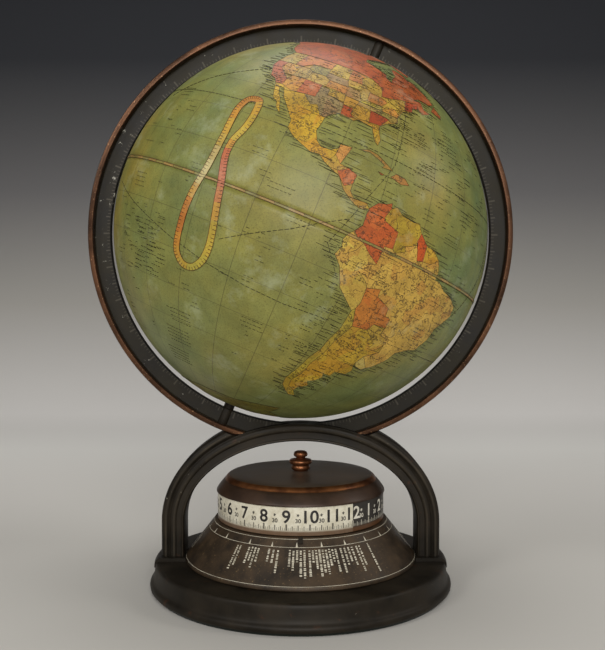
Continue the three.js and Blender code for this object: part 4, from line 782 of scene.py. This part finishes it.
countries = {
    "canada": ("#bf662e", stretch(northAmerica, (-141, 69.6), (-67, 44.8)) + [(-67.5, 47), (-70, 46),
        (-75, 45), (-79, 43.2), (-83, 42.2), (-83.5, 46), (-88, 48.3), (-95, 49)] + stretch(northAmerica,
        (-123, 48.5), (-138, 59.2)) + [(-141, 60.3)]),
    "mexico": ("#d3b53c", stretch(northAmerica, (-97.3, 26.8), (-90.3, 21)) + [(-90.5, 17.8), (-92.2, 14.6)]
        + stretch(northAmerica, (-94.5, 16.2), (-117, 32.4)) + [(-114.7, 32.5), (-111, 31.3), (-106.5, 31.7),
        (-103, 29), (-101, 29.7), (-99, 26.8)]),
    "yucatan": ("#d9a468", stretch(northAmerica, (-90.3, 21), (-88.5, 16)) + [(-90.5, 17.8)]),
    "centralAmerica": ("#cf7a3e", stretch(northAmerica, (-86, 15.8), (-83.6, 12.5)) + [(-85.5, 11),
        (-87.5, 12.8), (-88.5, 14)]),
    "california": ("#c6703a", [(-124.2, 42), (-120, 42), (-120, 39), (-114.7, 35), (-114.7, 32.5),
        (-117, 32.4), (-118.5, 34), (-120.6, 34.6), (-122, 36.8), (-123.8, 39)]),
    "northwest": ("#c9b445", [(-124.2, 42), (-117, 42), (-117, 48.9), (-123, 48.5), (-124, 46)]),
    "nevada": ("#d3ac42", [(-120, 42), (-114, 42), (-114, 37), (-117.5, 37), (-120, 39)]),
    "utah": ("#bda85e", [(-114, 42), (-109, 42), (-109, 37), (-114, 37)]),
    "montana": ("#cf8a40", [(-117, 48.9), (-104, 48.9), (-104, 45), (-111, 44.5), (-114, 42), (-117, 42)]),
    "wyoming": ("#a9a25c", [(-111, 44.5), (-104, 45), (-104, 41), (-109, 41), (-111, 42)]),
    "colorado": ("#d0b552", [(-109, 41), (-102, 41), (-102, 37), (-109, 37)]),
    "arizona": ("#d3a13e", [(-114, 37), (-109, 37), (-109, 31.3), (-111, 31.3), (-114.7, 32.5),
        (-114.7, 35)]),
    "newMexico": ("#c6703a", [(-109, 37), (-103, 37), (-103, 32), (-106.5, 31.7), (-109, 31.3)]),
    "dakotas": ("#cfb84e", [(-104, 48.9), (-96.8, 48.9), (-96.5, 43), (-104, 43)]),
    "nebraska": ("#b0987a", [(-104, 43), (-96.5, 43), (-95, 40), (-102, 40), (-104, 41)]),
    "kansas": ("#cf9a4c", [(-102, 40), (-94.8, 40), (-94.8, 37), (-102, 37)]),
    "texas": ("#a3957c", [(-103, 37), (-103, 36.5), (-100, 36.5), (-100, 34.3), (-94.3, 33.5), (-93.8, 29.8),
        (-96, 28.4), (-97.3, 26.8), (-99, 26.8), (-101, 29.7), (-103, 29), (-106.5, 31.7), (-103, 32)]),
    "oklahoma": ("#c4b24a", [(-103, 37), (-94.8, 37), (-94.5, 33.8), (-100, 34.3), (-100, 36.5)]),
    "minnesota": ("#c98a48", [(-96.8, 48.9), (-90, 48), (-92, 46.8), (-91, 43.5), (-96.5, 43.5)]),
    "iowa": ("#d3bf5e", [(-96.5, 43.5), (-91, 43.5), (-90.5, 41), (-95.5, 40.5)]),
    "missouri": ("#b59a74", [(-95.5, 40.5), (-91, 40.3), (-89.5, 36.5), (-94.8, 36.5)]),
    "arkansas": ("#cfb04a", [(-94.5, 36.5), (-89.8, 36.3), (-91, 33), (-94.3, 33.2)]),
    "louisiana": ("#bb5c2a", [(-94, 33), (-91, 33), (-91, 31), (-89.6, 30.3), (-91, 29.6), (-93.8, 29.8)]),
    "illinois": ("#c4a84e", [(-91, 42.5), (-87.6, 42.5), (-87.6, 38), (-89.3, 37), (-91, 40.3)]),
    "ohio": ("#cf9250", [(-87.5, 41.7), (-82, 41.5), (-80.6, 40.5), (-82.5, 38.3), (-87.6, 38)]),
    "kentucky": ("#c9bd58", [(-89.3, 37), (-82.5, 38.2), (-81.8, 36.7), (-89.4, 36.5)]),
    "tennessee": ("#b39f70", [(-89.8, 36.4), (-81.8, 36.6), (-84.3, 35), (-90.2, 35)]),
    "alabama": ("#cbb14a", [(-90.2, 35), (-85.5, 35), (-85, 31), (-88.3, 30.5), (-91, 31.2)]),
    "georgia": ("#b9582a", [(-85.5, 35), (-79, 34.8), (-81.3, 31.4), (-85, 31)]),
    "florida": ("#d0b33e", [(-85, 30.9), (-81.4, 30.8), (-81.2, 29.5), (-80.1, 27), (-80.5, 25.2),
        (-81.7, 26), (-82.8, 28), (-83.5, 29.8), (-85.3, 29.9)]),
    "virginia": ("#cfa552", [(-83, 36.6), (-76, 36.7), (-75.7, 38), (-77.5, 39.5), (-80.5, 38.2)]),
    "carolina": ("#a6a05e", [(-84.2, 35.1), (-81.8, 36.5), (-76, 36.6), (-76, 35.2), (-78, 34.1),
        (-80, 34.9)]),
    "newYork": ("#c7b052", [(-80.4, 42), (-79, 43.2), (-75, 45), (-73.4, 45), (-73.6, 41.2), (-75.3, 40)]),
    "newEngland": ("#bf5530", [(-73.4, 45), (-70, 46), (-67.5, 47), (-67, 44.8), (-70, 43.7), (-70.5, 41.9),
        (-73.5, 41.3)]),
    "colombia": ("#d0723e", stretch(southAmerica, (-77.3, 8.4), (-71.5, 10.8)) + [(-72.5, 8), (-72, 7.2),
        (-67.5, 6), (-67.3, 1.5), (-69.8, 1.2), (-69.9, -4), (-72.5, -2.5), (-75.3, -0.2), (-77.5, 0.5),
        (-78.8, 1.8), (-77.3, 3.8), (-77.5, 6.5)]),
    "venezuela": ("#c2ae48", stretch(southAmerica, (-71.5, 10.8), (-60.5, 8.5)) + [(-61, 6), (-60.8, 5.2),
        (-62.8, 4), (-64.2, 3.5), (-63.5, 2.2), (-66.3, 0.8), (-67.3, 1.5), (-67.5, 6), (-72, 7.2),
        (-72.5, 8)]),
    "guiana": ("#d0602e", [(-60.5, 8.5), (-57.5, 6.3), (-57, 2), (-59, 1.5), (-60, 4), (-61, 6)]),
    "surinam": ("#cfb04a", [(-57.5, 6.3), (-54, 5.8), (-51.5, 4.2), (-54, 2.3), (-57, 2)]),
    "ecuador": ("#d6c368", [(-80, 0.5), (-78.8, 1.8), (-77.5, 0.5), (-75.3, -0.2), (-76.5, -2.8), (-79, -5),
        (-80.3, -3.4), (-80.8, -1.5)]),
    "peru": ("#d2bd6c", [(-69.5, -11), (-69, -15.5), (-69.5, -17.5)] + stretch(southAmerica, (-70.3, -18.5),
        (-80.3, -3.4)) + [(-79, -5), (-76.5, -2.8), (-75.3, -0.2), (-72.5, -2.5), (-69.9, -4), (-73, -5.5),
        (-74, -7.5), (-70.6, -9.5)]),
    "bolivia": ("#cf8a44", [(-69.5, -11), (-65.5, -9.8), (-65.3, -12), (-60.5, -13.8), (-60, -16.2),
        (-58, -16.5), (-57.8, -19.5), (-61.8, -19.7), (-62.7, -22), (-67.5, -22.7), (-69.5, -17.5),
        (-69, -15.5)]),
    "paraguay": ("#cdb45c", [(-61.8, -19.7), (-57.8, -20), (-58, -22), (-55.8, -22.3), (-54.3, -24.5),
        (-56, -27.3), (-58.5, -27.3), (-57.7, -25.3), (-62.7, -22)]),
    "brazil": ("#dbbe70", stretch(southAmerica, (-51.5, 4.2), (-52, -32.8)) + [(-53.4, -33.7),
        (-57.5, -30.2), (-53.8, -27.2), (-54.3, -24.5), (-55.8, -22.3), (-58, -22), (-57.8, -19.5),
        (-58, -16.5), (-60, -16.2), (-60.5, -13.8), (-65.3, -12), (-65.5, -9.8), (-69.5, -11), (-70.6, -9.5),
        (-74, -7.5), (-73, -5.5), (-69.9, -4), (-69.8, 1.2), (-67.3, 1.5), (-66.3, 0.8), (-63.5, 2.2),
        (-64.2, 3.5), (-62.8, 4), (-60.8, 5.2), (-60, 4), (-59, 1.5), (-57, 2), (-54, 2.3)]),
    "uruguay": ("#d6c98c", [(-57.5, -30.2), (-53.4, -33.7), (-54.5, -34.8), (-57.5, -34.3), (-58.3, -33)]),
    "argentina": ("#d2b84a", stretch(southAmerica, (-58.3, -34), (-68.5, -52.5)) + [(-72, -51), (-73, -48),
        (-71.5, -44), (-71.5, -39), (-70, -34), (-69.5, -29), (-68, -24.5), (-67.5, -22.7), (-62.7, -22),
        (-57.7, -25.3), (-58.5, -27.3), (-56, -27.3), (-53.8, -27.2), (-57.5, -30.2), (-58.3, -33)]),
}
coasts = {"northAmerica": ("#c7ae50", northAmerica), "southAmerica": ("#c3b653", southAmerica), **islands}


# Each outline becomes a face, cut every few degrees so that it follows the ball
def mapPatches(patches, lift):
    whole = bmesh.new()
    whole.loops.layers.float_color.new("tint")
    for code, outline in patches.values():
        bm = bmesh.new()
        layer = bm.loops.layers.float_color.new("tint")
        bm.faces.new([bm.verts.new((lon, lat, 0)) for lon, lat in outline])
        for way, low, high in (((1, 0, 0), -180, 180), ((0, 1, 0), -87, 87)):
            for at in range(low, high, 3):
                if min(p[way[1]] for p in outline) < at < max(p[way[1]] for p in outline):
                    bmesh.ops.bisect_plane(bm, geom=bm.verts[:] + bm.edges[:] + bm.faces[:],
                                           plane_co=[at * way[0], at * way[1], 0], plane_no=way)
        bmesh.ops.triangulate(bm, faces=bm.faces)
        for face in bm.faces:
            for corner in face.loops:
                corner[layer] = tint(code)
        for v in bm.verts:
            v.co = onGlobe(v.co.x, v.co.y, lift)
        data = meshOf("patch", bm)
        whole.from_mesh(data)
        bpy.data.meshes.remove(data)
    return whole


# The point that lies a share of the way from one point to the next
def between(first, second, share):
    return [a + (b - a) * share for a, b in zip(first, second)]


# Lines on the ball: points in longitude and latitude, filled in every degree or so
def mapLines(name, paths, thick, lift, material):
    curve = bpy.data.curves.new(name, "CURVE")
    curve.dimensions, curve.bevel_depth, curve.bevel_resolution = "3D", thick / 2 * mm, 0
    for path in paths:
        filled = [path[0]]
        for start, end in zip(path, path[1:]):
            count = max(1, round(math.dist(start, end) / 2.5))
            filled += [between(start, end, i / count) for i in range(1, count + 1)]
        line = curve.splines.new("POLY")
        line.points.add(len(filled) - 1)
        for point, (lon, lat) in zip(line.points, filled):
            point.co = (*onGlobe(lon, lat, lift), 1)
    shown = placed(name, curve)
    data = shapeOf(shown)
    bpy.data.objects.remove(shown)
    bm = bmesh.new()
    bm.from_mesh(data)
    keep(name, bm, [material], "globe", "varnished_map")


keep("map_land", mapPatches(coasts, 0.12), [land], "globe", "varnished_map")
keep("map_countries", mapPatches(countries, 0.2), [land], "globe", "varnished_map")
outlines = [outline + outline[:1] for _, outline in {**coasts, **countries}.values()]
mapLines("map_coasts", outlines, 0.3, 0.2, mapInk)

# Short plain strokes off the coasts and over the land, where the old print has its names
strokes = []
for coast, dense in ((northAmerica, 1.5), (southAmerica, 1.6)):
    for (lon1, lat1), (lon2, lat2) in zip(coast, coast[1:] + coast[:1]):
        count = max(1, round(math.hypot(lon2 - lon1, lat2 - lat1) * dense / 2))
        out = 1 if lat2 < lat1 else -1
        for i in range(count):
            lon = lon1 + (lon2 - lon1) * (i + rng.random()) / count
            lat = lat1 + (lat2 - lat1) * (i + rng.random()) / count
            start = lon + out * rng.uniform(0.4, 0.9)
            strokes.append([(start, lat), (start + out * rng.uniform(1.4, 5), lat + rng.uniform(-0.3, 0.3))])
# Rows of short strokes where the print has words: place, rows, width in degrees
notes = [(-124, -40, 4, 9), (-127, -47, 5, 11), (-130, -56, 5, 12), (-122, 11.5, 3, 5), (-112, 12, 2, 5),
    (-148, -4, 4, 6), (-150, 24, 3, 6), (-96, 0, 3, 7), (-126, 39, 3, 6), (-104, 5, 2, 7), (-88, 24.5, 3, 5),
    (-92, 26.5, 2, 4), (-66, 27, 3, 6), (-58, 38, 4, 8), (-70, 34, 3, 5), (-47, 20, 3, 7), (-52, 12, 3, 6),
    (-62, 15, 3, 4), (-76, 14.5, 2, 5), (-98, -33, 3, 7)]
# Fields of scattered words: west, east, south, north, count
fields = [(-122, -72, 31, 49, 110), (-108, -97, 18, 30, 26), (-100, -65, 50, 60, 40),
    (-152, -130, -32, -12, 60), (-86, -76, -50, 4, 34), (-76, -38, -30, 6, 120), (-71, -62, -50, -24, 30),
    (-160, -85, -50, 25, 46), (-78, -30, 12, 44, 90)]
for west, east, south, north, count in fields:
    notes += [(rng.uniform(west, east), rng.uniform(south, north), rng.randint(1, 2), rng.uniform(1.2, 4))
              for i in range(count)]
for west, north, rows, wide in notes:
    for row in range(rows):
        left = west + rng.uniform(0, 1)
        while left < west + wide:
            long = rng.uniform(0.4, 1.2)
            strokes.append([(left, north - row * 1.3), (left + long, north - row * 1.3)])
            left += long + 0.4
mapLines("map_strokes", strokes, 0.3, 0.22, mapInk)

# Dashed sea routes and the tropics. Two routes go through points picked on the photo.
westRoute = [(133.06, 201.59), (169.74, 236.68), (204.04, 262.2), (244.7, 286.12), (281.39, 303.67),
    (329.23, 320.41)]
southRoute = [(217.59, 239.07), (243.11, 234.29), (289.36, 228.71), (318.07, 223.13)]
routes = [[(-160, -8)] + [picked(x, y) for x, y in westRoute], [picked(x, y) for x, y in southRoute] +
    [(-81, 4)], [(-60, -23.5), (-20, -23.5), (20, -23.5)], [(-180, 23.5), (-112, 23.5)], [(-97, 23.5),
    (-20, 23.5)], [(-122.5, 37.5), (-140, 30), (-157, 21)], [(-80, 7), (-84, -4), (-78, -12)], [(-79, 10),
    (-74, 22), (-73, 40)], [(-34, -8), (-25, 5), (-16, 28)]]
dashEvery, dashShare = 1.6, 0.72
dashes = []
for path in routes:
    for start, end in zip(path, path[1:]):
        count = max(2, round(math.dist(start, end) / dashEvery))
        dashes += [[between(start, end, i / count), between(start, end, (i + dashShare) / count)]
                   for i in range(count)]
mapLines("map_routes", dashes, 0.42, 0.14, mapInk)


# A printed band along a path, with its own colours, edge lines and cross ticks
def mapBand(name, path, half, colors, tickEvery, lift):
    bm = bmesh.new()
    count = len(path) - 1
    shade = bm.loops.layers.float_color.new("tint")
    bmesh.ops.create_grid(bm, x_segments=count, y_segments=2, size=1)
    left, right = [], []
    for i, (lon, lat) in enumerate(path):
        before, after = path[max(0, i - 1)], path[min(count, i + 1)]
        if path[0] == path[-1] and i in (0, count):
            before, after = path[-2], path[1]
        squeeze = max(0.2, math.cos(math.radians(lat)))
        way = Vector(((after[0] - before[0]) * squeeze, after[1] - before[1])).normalized()
        side = (-way.y * half / squeeze, way.x * half)
        left.append((lon + side[0], lat + side[1]))
        right.append((lon - side[0], lat - side[1]))
    for face in bm.faces:
        share = (face.calc_center_median().x + 1) / 2
        for corner in face.loops:
            corner[shade] = tint(colors[min(len(colors) - 1, int(share * len(colors)))])
    for v in bm.verts:
        i = round((v.co.x + 1) / 2 * count)
        v.co = onGlobe(*between(left[i], right[i], (v.co.y + 1) / 2), lift)
    keep(name, bm, [ribbon], "globe", "varnished_map")
    # The ticks reach from one edge to the middle
    ticks = [[left[i], between(left[i], right[i], 0.5)] for i in range(0, count, tickEvery)]
    mapLines(name + "_ink", [left, right] + ticks, 0.45, lift, brownInk)


equator = [(-180 + i * 2, 0.3) for i in range(181)]
mapBand("equator_band", equator, 0.32, ["#8f8a55", "#a98f5f"] * 45, 4, 0.24)

# The sun's long loop: its yearly path beside its own meridian, through points picked on the photo
sunSpots = [(253, 99), (258.5, 102), (253, 115), (244, 128), (234, 138), (228.5, 146), (224.25, 156.25),
    (222, 168), (220, 183), (217, 198), (214, 216), (211, 234), (207, 249), (200.75, 261), (191, 267),
    (181.25, 262.75), (176, 251), (176.25, 239), (179.75, 224), (184, 209), (191, 193), (198, 180),
    (205, 169), (212, 156), (219.25, 142), (225, 131), (231.5, 118), (237.75, 107.75), (246, 100.5)]
turns = [picked(x, y) for x, y in sunSpots]
# The rough path smoothed into four times as many points
figure = []
for i in range(len(turns) * 4):
    at, share = i // 4, i % 4 / 4
    before, first, second, after = [Vector(turns[(at + k) % len(turns)]) for k in (-1, 0, 1, 2)]
    bow = (2 * before - 5 * first + 4 * second - after) * share ** 2
    twist = (3 * first - before - 3 * second + after) * share ** 3
    figure.append(tuple(0.5 * (2 * first + (second - before) * share + bow + twist)))
figure.append(figure[0])
# The colours of its segments, listed one by one
hues = ["#c48a3e", "#c7a03c", "#c2a846", "#c4b054", "#c99a48", "#c56f4e", "#c8735a", "#c9775c", "#c58358",
    "#c9a04c", "#b9a54a", "#c0ac4c", "#b9ae50", "#b3ab52", "#c2a648", "#c79a42", "#c88f40", "#c27c3c",
    "#c98a4a", "#c6a05a", "#c9bd94", "#cfc7a4", "#c9b98c", "#c0a85c", "#c4a24a", "#c79440", "#c48a3e",
    "#c58c40"]
mapBand("sun_figure", figure, 1, hues, 1, 0.3)
print("globe ready")


# Movement, screws and pins keep their own shapes and take their metals here
plain = {
    steel: "bottom_plate bottom_plate_screw_1 bottom_plate_screw_2 bottom_plate_screw_3 arch_screw_left "
           "arch_screw_right saddle_screw_left saddle_screw_right pole_pin_north pole_pin_south "
           "cone_screw_1 cone_screw_2 cone_screw_3 frame_screw_1 frame_screw_2 frame_screw_3 barrel_arbor "
           "ratchet_wheel click winding_key cannon_pinion pallet_lever",
    brass: "pole_ferrule_north pole_ferrule_south hour_wheel dial_drum lower_plate upper_plate pillar_1 "
           "pillar_2 pillar_3 dial_bridge barrel_drum great_wheel centre_arbor minute_wheel third_arbor "
           "fourth_arbor escape_arbor balance_wheel",
    blued: "mainspring hairspring",
    paleWood: "globe_seam_ring globe_post",
    patina: "pole_collar_north pole_collar_south index_tab",
}
for material, names in plain.items():
    for name in names.split():
        nodes[name].data.materials.clear()
        nodes[name].data.materials.append(material)


# Studio: pale floor that runs up into a grey backdrop with painted light and shade, soft lamps, camera
def paperSweepPaintedLight(add, place):
    _, depth, up = add("SeparateXYZ", [place]).outputs
    along = add("MapRange", [add("Math ADD", [depth, up]), 0, 3.2, 0, 1])
    # Painted light and shade: lightest where the floor bends up, darker towards the front and far darker
    # towards the top of the backdrop
    shade = add("ValToRGB", [along], [
        (0.04, "#c3bfb7"), (0.134, "#dad6ce"), (0.21, "#eae7df"), (0.33, "#efebe4"), (0.4, "#dfdbd4"),
        (0.475, "#c9c5be"), (0.535, "#b4b0a8"), (0.69, "#767473"), (0.82, "#3b3c3f"), (1, "#2e2f33")])
    return {"Base Color": shade, "Roughness": 0.9, "Specular IOR Level": 0.1}


bm = bmesh.new()
bend = [math.pi * i / 32 for i in range(1, 17)]
sweep = [(-3, 0), (0.9, 0)] + [(0.9 + 0.8 * math.sin(a), 0.8 - 0.8 * math.cos(a)) for a in bend] + [(1.7, 4)]
points = [bm.verts.new((-4, y, z)) for y, z in sweep]
edges = [bm.edges.new(pair) for pair in zip(points, points[1:])]
moved = bmesh.ops.extrude_edge_only(bm, edges=edges)["geom"]
bmesh.ops.translate(bm, verts=[v for v in moved if isinstance(v, bmesh.types.BMVert)], vec=(8, 0, 0))
keep("paper_sweep", bm, [newMaterial("Grey paper sweep with painted light and shade", paperSweepPaintedLight)], None, None)

for name, spot, aim, size, power in (
        ("lamp_front", (0.1, -1.7, 0.8), (0, 0, 0.25), 1.1, 20),
        ("lamp_left", (-0.95, -1, 0.95), (0, 0, 0.25), 0.5, 4.5),
        ("lamp_right", (1.3, -0.2, 0.9), (0, 0, 0.25), 0.4, 3),
        ("lamp_top", (0, 0.3, 1.9), (0, 0, 0.2), 1.2, 11)):
    light = bpy.data.lights.new(name, "AREA")
    light.shape, light.size, light.energy = "DISK", size, power
    made = placed(name, light)
    made.location = spot
    made.rotation_euler = (Vector(aim) - Vector(spot)).to_track_quat("-Z", "Y").to_euler()
world = bpy.data.worlds.new("Soft room")
world.use_nodes = True
room = world.node_tree.nodes["Background"].inputs
room[0].default_value, room[1].default_value = tint("#cfcfd2"), 0.35
bpy.context.scene.world = world
bpy.context.scene.view_settings.view_transform = "Standard"

# The camera stands where the photo was taken, turned by its own yaw, which fits the whole object best
lens = bpy.data.cameras.new("photo_camera")
lens.sensor_fit, lens.sensor_height, lens.lens = "VERTICAL", 36, photo["focal"] / photo["high"] * 36
camera = placed("photo_camera", lens)
camera.location = [one * mm for one in photo["eye"]]
camera.rotation_euler = (math.pi / 2 - photo["pitch"], 0, -0.0022)
bpy.context.scene.camera = camera
